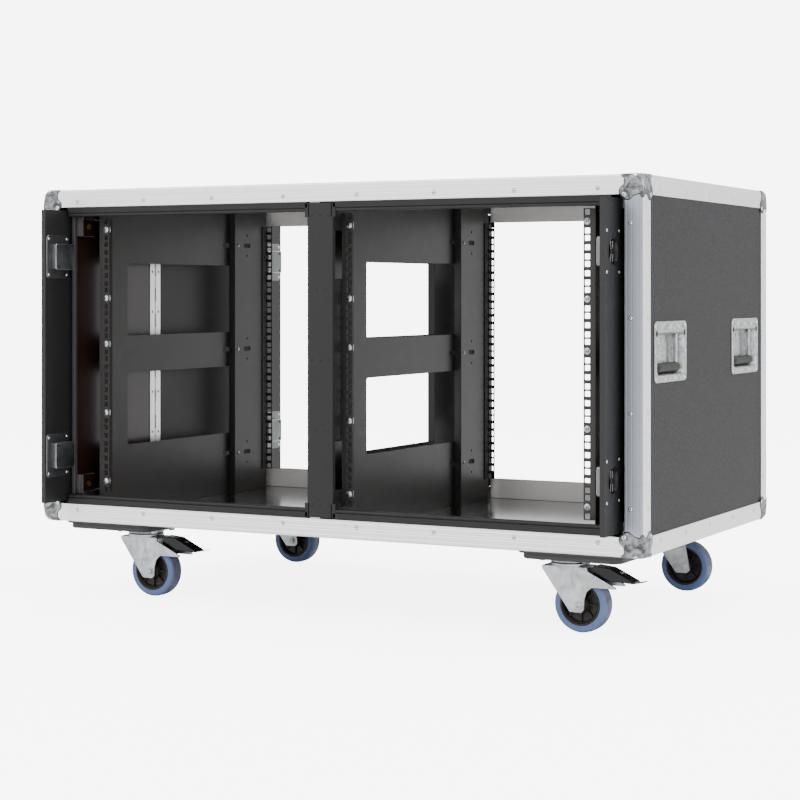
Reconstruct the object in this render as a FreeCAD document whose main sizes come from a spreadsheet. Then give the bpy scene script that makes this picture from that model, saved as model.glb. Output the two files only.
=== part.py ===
import FreeCAD, Part
import os
import re
import Sketcher

# Double-bay 19 inch rack case on castors, with four doors that slide away into side pockets.
# X runs to the right, the front faces -Y, +Z is up. The origin is on the floor under the middle.
# Side, front and rear clearances are measured inward from the outside of the edge profiles.

SIZES = {
    # shell
    "case_width": 1242, "case_depth": 688, "case_height": 642,
    "panel_thickness": 9, "edge_face": 34, "edge_thickness": 2, "edge_trim": 12, "panel_round": 20,
    "corner_reach": 45, "corner_thickness": 1.6, "corner_blunt": 7, "corner_gap": 0.6,
    "rivet_radius": 4, "rivet_head": 1.4, "rivet_margin": 11, "rivet_end": 82,
    # door frames and centre posts
    "frame_drop": 18, "frame_depth": 12, "lip_width": 8, "lip_depth": 4, "lip_recess": 13,
    "front_mouth_gap": 5, "rear_mouth_gap": 8,
    "post_width": 54, "post_depth": 34, "post_sheet": 2, "post_end": 36,
    "relief_flange": 8.5, "relief_height": 88, "post_screw_radius": 2.6,
    # rack rails and side plates
    "rack_unit": 44.45, "hole_edge": 6.35, "hole_size": 9.5, "hole_spacing": 465.1,
    "pocket_gap": 23, "rail_lap": 14, "rear_rail_lap": 8, "rail_lip": 7, "rail_sheet": 2, "rail_side": 38,
    "front_rail_set": 43, "rear_rail_set": 47, "plate_sheet": 1.5, "rear_plate_inset": 14,
    "window_start": 135, "window_low": 37, "window_high": 180, "rear_plate_run": 130,
    "rear_rail_side": 20,
    # doors
    "door_thickness": 9, "door_leaf": 500, "door_clearance": 6, "door_gap": 4, "rear_stick_extra": 37,
    "knuckle_radius": 3, "knuckle_gap": 0.3, "hinge_leaf": 18, "hinge_sheet": 1.2, "hinge_end": 20,
    "front_follower_end": 54, "rear_follower_end": 19, "block_thickness": 15, "block_side": 38,
    "block_drop": 19, "tongue_width": 6, "tongue_height": 12, "slide_sheet": 1.5,
    "slide_gap": 2, "door_play": 0.5,
    # latches
    "latch_drop": 90, "latch_edge": 38, "latch_plate_width": 69, "latch_plate_height": 83,
    "latch_sheet": 1.2, "bridge_width": 57, "bridge_height": 50, "bridge_rise": 13, "bridge_edge": 17,
    "latch_clear": 2, "dish_radius": 22, "dish_depth": 6.5, "wing_length": 36, "wing_width": 9,
    "stem_radius": 4, "latch_gap": 0.3,
    # side handles
    "handle_side": 136, "handle_high": 21, "tray_width": 162, "tray_height": 105, "tray_sheet": 1.2,
    "bowl_width": 138, "bowl_height": 84, "bowl_depth": 22, "bail_radius": 4, "bail_reach": 52,
    "bail_rise": 30, "bail_drop": 28, "bail_depth": 11, "grip_radius": 9, "lug_width": 8,
    "lug_height": 14, "pin_gap": 0.3,
    # castors
    "board_length": 200, "board_width": 150, "board_thickness": 15, "board_side": 40, "board_end": 8,
    "board_round": 25, "castor_side": 173, "castor_front": 100, "castor_rear": 48,
    "castor_plate_length": 105, "castor_plate_width": 80, "castor_plate_thickness": 3,
    "bolt_x": 40, "bolt_y": 30, "bolt_head_radius": 6.5, "bolt_head": 5,
    "bearing_radius": 35, "bearing_height": 13.5, "swivel_gap": 0.5, "trail": 25, "fork_crown": 16,
    "fork_sheet": 3, "fork_inside": 41, "wheel_radius": 50, "hub_radius": 37, "tyre_width": 34,
    "hub_width": 38, "axle_radius": 6, "axle_gap": 0.05, "axle_head": 4, "pedal_width": 30,
    "pedal_pin_radius": 2.5,
}
LONG_RIVETS = 8
DEPTH_RIVETS = 5
UPRIGHT_RIVETS = 4
POST_SCREW_ROWS = ((3, 0.92), (2, 0.45), (3, 0))
RACK_UNITS = int((SIZES["case_height"] - 2 * (SIZES["edge_face"] + SIZES["frame_drop"]))
                 / SIZES["rack_unit"])
RAIL_HOLES = 3 * RACK_UNITS
FIXED_HOLES = (1, 10, RAIL_HOLES // 2 + 1, RAIL_HOLES - 11, RAIL_HOLES - 2)

SIDE = "(case_width / 2)"
FRONT_STICK = "(bridge_edge + bridge_width + latch_clear - lip_recess)"
REAR_STICK = f"({FRONT_STICK} + rear_stick_extra)"
MIDDLE = f"(({FRONT_STICK} - {REAR_STICK}) / 2)"
FRONT = f"({MIDDLE} - case_depth / 2)"
REAR = f"({MIDDLE} + case_depth / 2)"
CROWN_Z = "(2 * wheel_radius + fork_crown)"
PLATE_Z = f"({CROWN_Z} + bearing_height + swivel_gap)"
LIFT = f"({PLATE_Z} + castor_plate_thickness + board_thickness)"
TOP = f"({LIFT} + case_height)"
MID = f"({LIFT} + case_height / 2)"
SKIN = "(edge_thickness + panel_thickness)"
FRONT_SET = "(corner_reach - corner_thickness + corner_gap)"
REAR_SET = f"({FRONT_SET} + door_thickness + door_gap)"
FRONT_MOUTH = f"({FRONT_SET} + door_thickness + front_mouth_gap)"
REAR_MOUTH = f"({REAR_SET} + door_thickness + rear_mouth_gap)"
RAIL_SIDE = f"({SIDE} - {REAR_SET} - door_thickness - block_thickness - pocket_gap)"
HOLE_X = f"({RAIL_SIDE} - rail_lap)"
BAY = f"({HOLE_X} - hole_spacing / 2)"
DOOR_LOW = f"({LIFT} + edge_face + door_clearance)"
DOOR_HIGH = f"({TOP} - edge_face - door_clearance)"
LATCH_REACH = f"({DOOR_HIGH} - latch_drop - {MID})"
BLOCK_HIGH = f"({DOOR_HIGH} - block_drop)"
HALF_RACK = f"({RACK_UNITS} * rack_unit / 2)"
CASTOR_X = f"({SIDE} - castor_side)"
HANDLE_Z = f"({MID} + handle_high)"
HANDLE_Y = f"({REAR} - handle_side)"
BAIL_X = f"({SIDE} - bail_depth)"
BAIL_Z = f"({HANDLE_Z} + bail_rise)"
POST_FACE = f"({FRONT} + edge_thickness)"

doc = FreeCAD.newDocument("rack_case")
sheet = doc.addObject("Spreadsheet::Sheet", "sizes")
for row, (alias, number) in enumerate(SIZES.items(), start=1):
    sheet.set(f"A{row}", alias)
    sheet.set(f"B{row}", str(number))
    sheet.setAlias(f"B{row}", alias)
doc.recompute()
nodes = {}


def bind(text):
    """Makes an expression over size names read the sheet."""
    return re.sub(r"[a-z_]+", lambda word: f"sizes.{word[0]}" if word[0] in SIZES else word[0], text)


def block(name, x, y, z):
    """A box; x, y and z are each a low and a high expression."""
    item = doc.addObject("Part::Box", name)
    for size, axis, (low, high) in zip(("Length", "Width", "Height"), "xyz", (x, y, z)):
        item.setExpression(size, bind(f"({high}) - ({low})"))
        item.setExpression(f"Placement.Base.{axis}", bind(low))
    return item


TURNS = {
    "x": FreeCAD.Rotation(FreeCAD.Vector(0, 1, 0), 90),
    "y": FreeCAD.Rotation(FreeCAD.Vector(1, 0, 0), -90),
    "z": FreeCAD.Rotation(),
}


def round_block(name, x, y, z, radius):
    """A flat board with its upright corners rounded."""
    inner_x = (f"{x[0]} + {radius}", f"{x[1]} - {radius}")
    inner_y = (f"{y[0]} + {radius}", f"{y[1]} - {radius}")
    pieces = [block(f"{name}_long", x, inner_y, z), block(f"{name}_wide", inner_x, y, z)]
    for across in inner_x:
        for along in inner_y:
            pieces.append(rod(f"{name}_corner", "z", (across, along, z[0]), radius, f"({z[1]}) - ({z[0]})"))
    return fuse(name, pieces)


def rod(name, axis, start, radius, length):
    """A cylinder from start along +axis."""
    item = doc.addObject("Part::Cylinder", name)
    item.Placement = FreeCAD.Placement(FreeCAD.Vector(), TURNS[axis])
    item.setExpression("Radius", bind(radius))
    item.setExpression("Height", bind(length))
    for letter, place in zip("xyz", start):
        item.setExpression(f"Placement.Base.{letter}", bind(place))
    return item


def ball(name, centre, radius):
    item = doc.addObject("Part::Sphere", name)
    item.setExpression("Radius", bind(radius))
    for letter, place in zip("xyz", centre):
        item.setExpression(f"Placement.Base.{letter}", bind(place))
    return item


def fuse(name, items):
    item = doc.addObject("Part::MultiFuse", name)
    item.Shapes = items
    return item


def common(name, items):
    item = doc.addObject("Part::MultiCommon", name)
    item.Shapes = items
    return item


def cut(name, base, tools):
    item = doc.addObject("Part::Cut", name)
    item.Base = base
    item.Tool = tools[0] if len(tools) == 1 else group(f"{name}_tools", tools)
    return item


def group(name, items):
    item = doc.addObject("Part::Compound", name)
    item.Links = items
    return item


def mirror(item, axis, about=None):
    """The other-hand copy of item, across the case's middle or across the plane axis = about."""
    copy = doc.addObject("Part::Mirroring", f"{item.Name}_{axis}")
    copy.Source = item
    copy.Normal = FreeCAD.Vector(*(float(axis == letter) for letter in "xyz"))
    copy.setExpression(f"Base.{axis}", bind(about or {"x": "0", "y": MIDDLE, "z": MID}[axis]))
    return copy


def pair(item, axis, about=None):
    """item and its mirrored copy together."""
    return group(f"{item.Name}_pair_{axis}", [item, mirror(item, axis, about)])


def outline(name, plane, points, depth, place):
    """A PartDesign body: a straight-sided outline padded by depth, then moved to place."""
    body = doc.addObject("PartDesign::Body", name)
    sketch = body.newObject("Sketcher::SketchObject", f"{name}_sketch")
    base = next(item for item in body.Origin.OriginFeatures if item.Role == plane)
    sketch.AttachmentSupport = [(base, "")]
    sketch.MapMode = "FlatFace"
    count = len(points)
    for index in range(count):
        turn = FreeCAD.Vector(index, count - index, 0)
        after = FreeCAD.Vector(index + 1, count - index + 1, 0)
        sketch.addGeometry(Part.LineSegment(turn, after), False)
    for index in range(count):
        sketch.addConstraint(Sketcher.Constraint("Coincident", index, 2, (index + 1) % count, 1))
    for index, point in enumerate(points):
        for kind, text in zip(("DistanceX", "DistanceY"), point):
            place_at = sketch.addConstraint(Sketcher.Constraint(kind, -1, 1, index, 1, 1.0 + index))
            sketch.setExpression(f"Constraints[{place_at}]", bind(text))
    pad = body.newObject("PartDesign::Pad", f"{name}_pad")
    pad.Profile = sketch
    pad.setExpression("Length", bind(depth))
    for letter, text in zip("xyz", place):
        body.setExpression(f"Placement.Base.{letter}", bind(text))
    return body


def node(label, item):
    """Names a finished sub-part; its label is its file name."""
    item.Label = label
    nodes[label] = item


def make_shell():
    floor = block(
        "floor_slab",
        (f"-({SIDE} - edge_thickness)", f"{SIDE} - edge_thickness"),
        (f"{FRONT} + edge_thickness", f"{REAR} - edge_thickness"),
        (f"{LIFT} + edge_thickness", f"{LIFT} + {SKIN}"),
    )
    corner = block(
        "slab_corner",
        (f"{SIDE} - edge_thickness - panel_round", SIDE),
        (f"{REAR} - edge_thickness - panel_round", REAR),
        (LIFT, f"{LIFT} + {SKIN} + 1"),
    )
    keep = rod(
        "slab_round", "z",
        (f"{SIDE} - edge_thickness - panel_round", f"{REAR} - edge_thickness - panel_round", LIFT),
        "panel_round", f"{SKIN} + 1",
    )
    waste = cut("slab_waste", corner, [keep])
    bottom = cut("bottom_board", floor, [pair(pair(waste, "x"), "y")])
    node("bottom_panel", bottom)
    node("top_panel", mirror(bottom, "z"))
    side = block(
        "side_board",
        (f"{SIDE} - {SKIN}", f"{SIDE} - edge_thickness"),
        (f"{FRONT} + edge_thickness", f"{REAR} - edge_thickness"),
        (f"{LIFT} + {SKIN}", f"{TOP} - {SKIN}"),
    )
    opening = block(
        "bowl_opening",
        (f"{SIDE} - {SKIN} - 1", SIDE),
        (f"{HANDLE_Y} - bowl_width / 2 - tray_sheet", f"{HANDLE_Y} + bowl_width / 2 + tray_sheet"),
        (f"{HANDLE_Z} - bowl_height / 2 - tray_sheet", f"{HANDLE_Z} + bowl_height / 2 + tray_sheet"),
    )
    right = cut("right_board", side, [pair(opening, "y")])
    node("right_side_panel", right)
    node("left_side_panel", mirror(right, "x"))


def angle_profile(name, along, start, length, place_a, place_b):
    """One L section: both legs run inward from the outer arris at (place_a, place_b)."""
    legs = []
    for index in range(2):
        a = (f"{place_a} - edge_face", place_a) if index == 0 else (f"{place_a} - edge_thickness", place_a)
        b = (f"{place_b} - edge_thickness", place_b) if index == 0 else (f"{place_b} - edge_face", place_b)
        span = {along: (start, f"({start}) + {length}")}
        first, second = (letter for letter in "xyz" if letter != along)
        span[first] = a
        span[second] = b
        legs.append(block(f"{name}_leg_{index}", span["x"], span["y"], span["z"]))
    return fuse(name, legs)


def make_edges():
    long_edge = angle_profile(
        "long_edge", "x", f"-({SIDE} - edge_trim)", f"2 * ({SIDE} - edge_trim)", REAR, TOP)
    node("long_edge_profiles", pair(pair(long_edge, "y"), "z"))
    depth_edge = angle_profile(
        "depth_edge", "y", f"{FRONT} + edge_face", "case_depth - 2 * edge_face", SIDE, TOP)
    node("depth_edge_profiles", pair(pair(depth_edge, "x"), "z"))
    upright = angle_profile(
        "upright_edge", "z", f"{LIFT} + edge_face", "case_height - 2 * edge_face", SIDE, REAR)
    node("upright_edge_profiles", pair(pair(upright, "x"), "y"))


def make_corners():
    """Pressed ball corner: a shell between two boxes, each blunted at its tip by a sphere."""
    outer = "corner_thickness"
    centre = (f"{SIDE} + {outer} - corner_reach", f"{REAR} + {outer} - corner_reach",
              f"{TOP} + {outer} - corner_reach")
    parts = []
    for name, skin in (("outside", "corner_thickness"), ("inside", "0")):
        solid = block(
            f"corner_{name}",
            (centre[0], f"{SIDE} + {skin}"),
            (centre[1], f"{REAR} + {skin}"),
            (centre[2], f"{TOP} + {skin}"),
        )
        blunt = ball(
            f"corner_ball_{name}", centre,
            f"corner_reach * sqrt(3) - corner_blunt - corner_thickness + {skin}")
        parts.append(common(f"corner_{name}_blunt", [solid, blunt]))
    shell = cut("ball_corner", parts[0], [parts[1]])
    node("ball_corners", pair(pair(pair(shell, "x"), "y"), "z"))


def make_rivets():
    """Dome rivets on both faces of each profile; built on one corner and mirrored."""
    inner = "(edge_face - rivet_margin)"
    heads = []
    step = f"((case_width - 2 * rivet_end) / {LONG_RIVETS - 1})"
    for index in range(LONG_RIVETS // 2):
        along = f"{step} * {index + 0.5}"
        heads.append(rod(f"long_rivet_top_{index}", "z", (along, f"{REAR} - {inner}", TOP),
                         "rivet_radius", "rivet_head"))
        heads.append(rod(f"long_rivet_face_{index}", "y", (along, REAR, f"{TOP} - {inner}"),
                         "rivet_radius", "rivet_head"))
    step = f"((case_depth - 2 * rivet_end) / {DEPTH_RIVETS - 1})"
    for index in range(DEPTH_RIVETS // 2 + 1):
        along = f"{MIDDLE} + {step} * {index}"
        heads.append(rod(f"depth_rivet_top_{index}", "z", (f"{SIDE} - {inner}", along, TOP),
                         "rivet_radius", "rivet_head"))
        heads.append(rod(f"depth_rivet_side_{index}", "x", (SIDE, along, f"{TOP} - {inner}"),
                         "rivet_radius", "rivet_head"))
    step = f"((case_height - 2 * rivet_end) / {UPRIGHT_RIVETS - 1})"
    for index in range(UPRIGHT_RIVETS // 2):
        along = f"{MID} + {step} * {index + 0.5}"
        heads.append(rod(f"upright_rivet_face_{index}", "y", (f"{SIDE} - {inner}", REAR, along),
                         "rivet_radius", "rivet_head"))
        heads.append(rod(f"upright_rivet_side_{index}", "x", (SIDE, f"{REAR} - {inner}", along),
                         "rivet_radius", "rivet_head"))
    corner = fuse("corner_rivets", heads)
    quarter = fuse("end_rivets", [corner, mirror(corner, "x")])
    half = fuse("upper_rivets", [quarter, mirror(quarter, "y")])
    node("edge_rivets", fuse("all_rivets", [half, mirror(half, "z")]))


def make_door_frame(name, mouth):
    """Bars above and below each bay, from the centre post to an upright lip by the pocket mouth."""
    bar = block(
        f"{name}_bar",
        ("post_width / 2", f"{SIDE} - {mouth}"),
        (POST_FACE, f"{POST_FACE} + frame_depth"),
        (f"{TOP} - edge_face - frame_drop", f"{TOP} - {SKIN}"),
    )
    lip = block(
        f"{name}_lip",
        (f"{SIDE} - {mouth} - lip_width", f"{SIDE} - {mouth}"),
        (f"{FRONT} + lip_recess", f"{FRONT} + lip_recess + lip_depth"),
        (f"{LIFT} + {SKIN}", f"{TOP} - {SKIN}"),
    )
    return group(name, [pair(fuse(f"{name}_side", [pair(bar, "z"), lip]), "x")])


def make_frames():
    node("front_door_frame", make_door_frame("front_frame", FRONT_MOUTH))
    node("rear_door_frame", mirror(make_door_frame("rear_frame", REAR_MOUTH), "y"))


def make_posts():
    """U-shaped centre post, its flanges relieved where the latch hooks reach behind its face."""
    web = block(
        "post_web",
        ("-post_width / 2", "post_width / 2"),
        (POST_FACE, f"{POST_FACE} + post_sheet"),
        (f"{LIFT} + post_end", f"{TOP} - post_end"),
    )
    flange = block(
        "post_flange",
        ("post_width / 2 - post_sheet", "post_width / 2"),
        (POST_FACE, f"{POST_FACE} + post_depth"),
        (f"{LIFT} + post_end", f"{TOP} - post_end"),
    )
    relief = block(
        "post_relief",
        ("post_width / 2 - post_sheet - 1", "post_width / 2 + 1"),
        (f"{POST_FACE} + relief_flange", f"{POST_FACE} + post_depth + 1"),
        (f"{MID} + {LATCH_REACH} - relief_height / 2", f"{MID} + {LATCH_REACH} + relief_height / 2"),
    )
    side = cut("post_side", flange, [pair(relief, "z")])
    post = fuse("centre_post", [web, pair(side, "x")])
    node("centre_posts", pair(post, "y"))


def make_rails():
    """Front rails, with three square holes in each rack unit, and the rear rails behind them."""
    holes = []
    for unit in range(RACK_UNITS):
        for third in range(3):
            high = f"({MID} - {HALF_RACK} + {unit} * rack_unit + hole_edge"
            high += f" + {third} * (rack_unit / 2 - hole_edge))"
            holes.append(high)
    for name, set_in, shift, lap, side_depth in (
            ("front", "front_rail_set", "0", "rail_lap", "rail_side"),
            ("rear", "rear_rail_set", "rear_plate_inset", "rear_rail_lap", "rear_rail_side")):
        corner = f"({RAIL_SIDE} - {shift})"
        face = f"({FRONT} + {set_in})"
        strip = block(
            f"{name}_rail_face",
            (f"{corner} - {lap} - rail_lip", corner),
            (face, f"{face} + rail_sheet"),
            (f"{MID} - {HALF_RACK}", f"{MID} + {HALF_RACK}"),
        )
        web = block(
            f"{name}_rail_web",
            (f"{corner} - rail_sheet", corner),
            (face, f"{face} + {side_depth}"),
            (f"{MID} - {HALF_RACK}", f"{MID} + {HALF_RACK}"),
        )
        column = f"({corner} - {lap})"
        cutters = [
            block(
                f"{name}_hole_{index}",
                (f"{column} - hole_size / 2", f"{column} + hole_size / 2"),
                (f"{face} - 1", f"{face} + rail_sheet + 1"),
                (f"{high} - hole_size / 2", f"{high} + hole_size / 2"),
            )
            for index, high in enumerate(holes)
        ]
        rail = cut(f"{name}_rail", fuse(f"{name}_rail_blank", [strip, web]), cutters)
        four = pair(pair(rail, "x", BAY), "x")
        node(f"{name}_rack_rails", four if name == "front" else mirror(four, "y"))
    return holes


def make_side_plates():
    """Sheet plates that tie front and rear rails; the front ones are open in two windows."""
    low = f"{LIFT} + {SKIN}"
    high = f"{TOP} - {SKIN}"
    split = f"({REAR} - rear_rail_set - rear_plate_run)"
    sheet_plate = block(
        "front_plate",
        (RAIL_SIDE, f"{RAIL_SIDE} + plate_sheet"),
        (f"{FRONT} + front_rail_set", split),
        (low, high),
    )
    window = block(
        "plate_window",
        (f"{RAIL_SIDE} - 1", f"{RAIL_SIDE} + plate_sheet + 1"),
        (f"{FRONT} + window_start", f"{split} + 1"),
        (f"{MID} + window_low", f"{MID} + window_high"),
    )
    front = cut("front_plate_cut", sheet_plate, [pair(window, "z")])
    node("front_side_plates", pair(pair(front, "x", BAY), "x"))
    inner = f"({RAIL_SIDE} - rear_plate_inset)"
    rear_sheet = block(
        "rear_plate",
        (inner, f"{inner} + plate_sheet"),
        (split, f"{REAR} - rear_rail_set"),
        (low, high),
    )
    joggle = block(
        "rear_joggle",
        (inner, f"{RAIL_SIDE} + plate_sheet"),
        (split, f"{split} + plate_sheet"),
        (low, high),
    )
    rear = fuse("rear_bracket", [rear_sheet, joggle])
    node("rear_side_plates", pair(pair(rear, "x", BAY), "x"))


def make_screws(holes):
    """Rail bolts in the chosen holes, with a cage nut behind each, and the post screws."""
    face = f"({FRONT} + front_rail_set)"
    bolts = []
    for index in FIXED_HOLES:
        high = holes[index]
        head = rod(f"bolt_head_{index}", "y", (HOLE_X, f"{face} - 3", high), "hole_size / 2 + 1", "3")
        shank = rod(f"bolt_shank_{index}", "y", (HOLE_X, face, high), "hole_size / 3", "rail_sheet")
        nut = block(
            f"cage_nut_{index}",
            (f"{HOLE_X} - hole_size / 2 - 1", f"{HOLE_X} + hole_size / 2 + 1"),
            (f"{face} + rail_sheet", f"{face} + rail_sheet + 5"),
            (f"{high} - hole_size / 2 - 1", f"{high} + hole_size / 2 + 1"),
        )
        bolts.append(fuse(f"rail_bolt_{index}", [head, shank, nut]))
    rail_bolts = pair(pair(group("rail_bolt_column", bolts), "x", BAY), "x")
    screws = []
    for row, (count, share) in enumerate(POST_SCREW_ROWS):
        for index in range(count):
            across = f"(post_width / 3) * {index - (count - 1) / 2}"
            screws.append(rod(
                f"post_screw_{row}_{index}", "y",
                (across, f"{POST_FACE} - 1", f"{MID} + {share} * (case_height / 2 - post_end)"),
                "post_screw_radius", "1"))
    rows = fuse("upper_post_screws", screws)
    both = fuse("post_screw_column", [rows, mirror(rows, "z")])
    node("frame_screws", group("all_screws", [rail_bolts, pair(both, "y")]))


DOORS = {
    "front_right": (FRONT_SET, FRONT_STICK, "front_follower_end", ""),
    "front_left": (FRONT_SET, FRONT_STICK, "front_follower_end", "x"),
    "rear_right": (REAR_SET, REAR_STICK, "rear_follower_end", "y"),
    "rear_left": (REAR_SET, REAR_STICK, "rear_follower_end", "xy"),
}


def placed(label, item, turned):
    """Registers item on the right front, or its mirrored copy for the other pockets."""
    for axis in turned:
        item = mirror(item, axis)
    node(label, item)


def make_slides():
    """Channels above and below each pocket, in which the door carriages run."""
    top = f"{TOP} - {SKIN}"
    slide_end = "(lip_recess + lip_depth + slide_gap)"
    runs = []
    for name, side in (
            ("outer", f"({SIDE} - {FRONT_SET} + door_play)"),
            ("inner", f"({SIDE} - {REAR_SET} - door_thickness - door_play - block_thickness)")):
        low = f"{BLOCK_HIGH} + slide_gap"
        shell = block(
            f"{name}_slide_outside",
            (side, f"{side} + block_thickness"),
            (f"{FRONT} + {slide_end}", f"{REAR} - {slide_end}"),
            (low, top),
        )
        hollow = block(
            f"{name}_slide_inside",
            (f"{side} + slide_sheet", f"{side} + block_thickness - slide_sheet"),
            (f"{FRONT} + {slide_end} - 1", f"{REAR} - {slide_end} + 1"),
            (f"{low} - 1", f"{top} - slide_sheet"),
        )
        runs.append(cut(f"{name}_slide", shell, [hollow]))
    node("pocket_slides", pair(pair(group("slides", runs), "x"), "z"))


def make_doors():
    """Each door is built in the right front pocket and mirrored to its own."""
    for name, (set_in, stick, follower_end, turned) in DOORS.items():
        inner_blocks = name.startswith("rear")
        outside = f"({SIDE} - {set_in})"
        inside = f"({outside} - door_thickness)"
        edge = f"({FRONT} - {stick})"
        latch_y = f"({edge} + latch_edge)"
        leaf = block(
            f"{name}_leaf", (inside, outside), (edge, f"{edge} + door_leaf"), (DOOR_LOW, DOOR_HIGH))
        holes = rod(
            f"{name}_dish", "x",
            (f"{outside} - dish_depth", latch_y, f"{MID} + {LATCH_REACH}"),
            "dish_radius", "dish_depth + 1")
        bore = rod(
            f"{name}_bore", "x",
            (f"{inside} - 1", latch_y, f"{MID} + {LATCH_REACH}"),
            "stem_radius + latch_gap", "door_thickness")
        openings = fuse(f"{name}_latch_opening", [holes, bore])
        placed(f"{name}_door_panel", cut(f"{name}_panel", leaf, [pair(openings, "z")]), turned)

        make_carriage(name, outside, inside, edge, follower_end, inner_blocks, turned)
        make_door_hardware(name, inside, edge, latch_y, turned)
        make_wings(name, outside, inside, latch_y, turned)


def make_carriage(name, outside, inside, edge, follower_end, inner_blocks, turned):
    """The follower board that stays in the pocket, with its guide blocks and tongues."""
    start = f"({edge} + door_leaf + 2 * (knuckle_radius + knuckle_gap))"
    end = f"({REAR} - {follower_end})"
    board = block(f"{name}_follower", (inside, outside), (start, end), (DOOR_LOW, DOOR_HIGH))
    pieces = [board]
    if inner_blocks:
        span = (f"{inside} - block_thickness", inside)
        middle = f"({inside} - block_thickness / 2 - door_play)"
    else:
        span = (outside, f"{outside} + block_thickness")
        middle = f"({outside} + block_thickness / 2 + door_play)"
    for place, at in (("near", f"({start} + hinge_leaf + 2)"),
                      ("far", f"({end} - block_side)")):
        guide = block(
            f"{name}_guide_{place}", span,
            (at, f"{at} + block_side"),
            (f"{BLOCK_HIGH} - block_side", BLOCK_HIGH),
        )
        tongue = block(
            f"{name}_tongue_{place}",
            (f"{middle} - tongue_width / 2", f"{middle} + tongue_width / 2"),
            (f"{at} + 2", f"{at} + block_side - 2"),
            (BLOCK_HIGH, f"{BLOCK_HIGH} + tongue_height"),
        )
        both = fuse(f"{name}_runner_{place}", [guide, tongue])
        pieces.append(pair(both, "z"))
    placed(f"{name}_door_carriage", fuse(f"{name}_carriage", pieces), turned)


def make_door_hardware(name, inside, edge, latch_y, turned):
    """Latch plates with their raised bridges, and the piano hinge to the follower."""
    fold = f"({edge} + door_leaf + knuckle_radius + knuckle_gap)"
    leaf = block(
        f"{name}_hinge_leaves",
        (f"{inside} - hinge_sheet", inside),
        (f"{fold} - hinge_leaf", f"{fold} + hinge_leaf"),
        (f"{DOOR_LOW} + hinge_end", f"{DOOR_HIGH} - hinge_end"),
    )
    knuckle = rod(
        f"{name}_knuckle", "z", (inside, fold, f"{DOOR_LOW} + hinge_end"),
        "knuckle_radius", f"{DOOR_HIGH} - {DOOR_LOW} - 2 * hinge_end")
    hinge = fuse(f"{name}_hinge", [leaf, knuckle])
    at = f"({MID} + {LATCH_REACH})"
    plate = block(
        f"{name}_latch_plate",
        (f"{inside} - latch_sheet", inside),
        (f"{latch_y} - latch_plate_width / 2", f"{latch_y} + latch_plate_width / 2"),
        (f"{at} - latch_plate_height / 2", f"{at} + latch_plate_height / 2"),
    )
    near = f"({edge} + bridge_edge)"
    bridge = block(
        f"{name}_bridge",
        (f"{inside} - bridge_rise", inside),
        (near, f"{near} + bridge_width"),
        (f"{at} - bridge_height / 2", f"{at} + bridge_height / 2"),
    )
    hollow = block(
        f"{name}_bridge_hollow",
        (f"{inside} - bridge_rise + latch_sheet", f"{inside} + 1"),
        (f"{near} - 1", f"{near} + bridge_width - latch_sheet"),
        (f"{at} - bridge_height / 2 + latch_sheet", f"{at} + bridge_height / 2 - latch_sheet"),
    )
    latch = cut(f"{name}_latch_case", fuse(f"{name}_latch_solid", [plate, bridge]), [hollow])
    placed(
        f"{name}_door_hardware",
        group(f"{name}_hardware", [hinge, pair(latch, "z")]), turned)


def make_wings(name, outside, inside, latch_y, turned):
    """Butterfly wing in the dish, its stem and the hook under the bridge."""
    for level, sign in (("upper", "+"), ("lower", "-")):
        at = f"({MID} {sign} {LATCH_REACH})"
        floor_x = f"({outside} - dish_depth + latch_gap)"
        wing = block(
            f"{name}_{level}_wing_bar",
            (floor_x, f"{outside} - latch_gap"),
            (f"{latch_y} - wing_width / 2", f"{latch_y} + wing_width / 2"),
            (f"{at} - wing_length / 2", f"{at} + wing_length / 2"),
        )
        stem = rod(
            f"{name}_{level}_stem", "x",
            (f"{inside} - bridge_rise + 2 * latch_sheet + latch_gap", latch_y, at),
            "stem_radius", f"{floor_x} - {inside} + bridge_rise - 2 * latch_sheet")
        hook = block(
            f"{name}_{level}_hook",
            (f"{inside} - bridge_rise + 2 * latch_sheet + latch_gap", f"{inside} - bridge_rise / 2"),
            (f"{latch_y} - wing_width / 2", f"{latch_y} + wing_width * 1.5"),
            (f"{at} - wing_width / 2", f"{at} + wing_width / 2"),
        )
        placed(f"{name}_{level}_latch_wing", fuse(f"{name}_{level}_wing", [wing, stem, hook]), turned)


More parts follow.
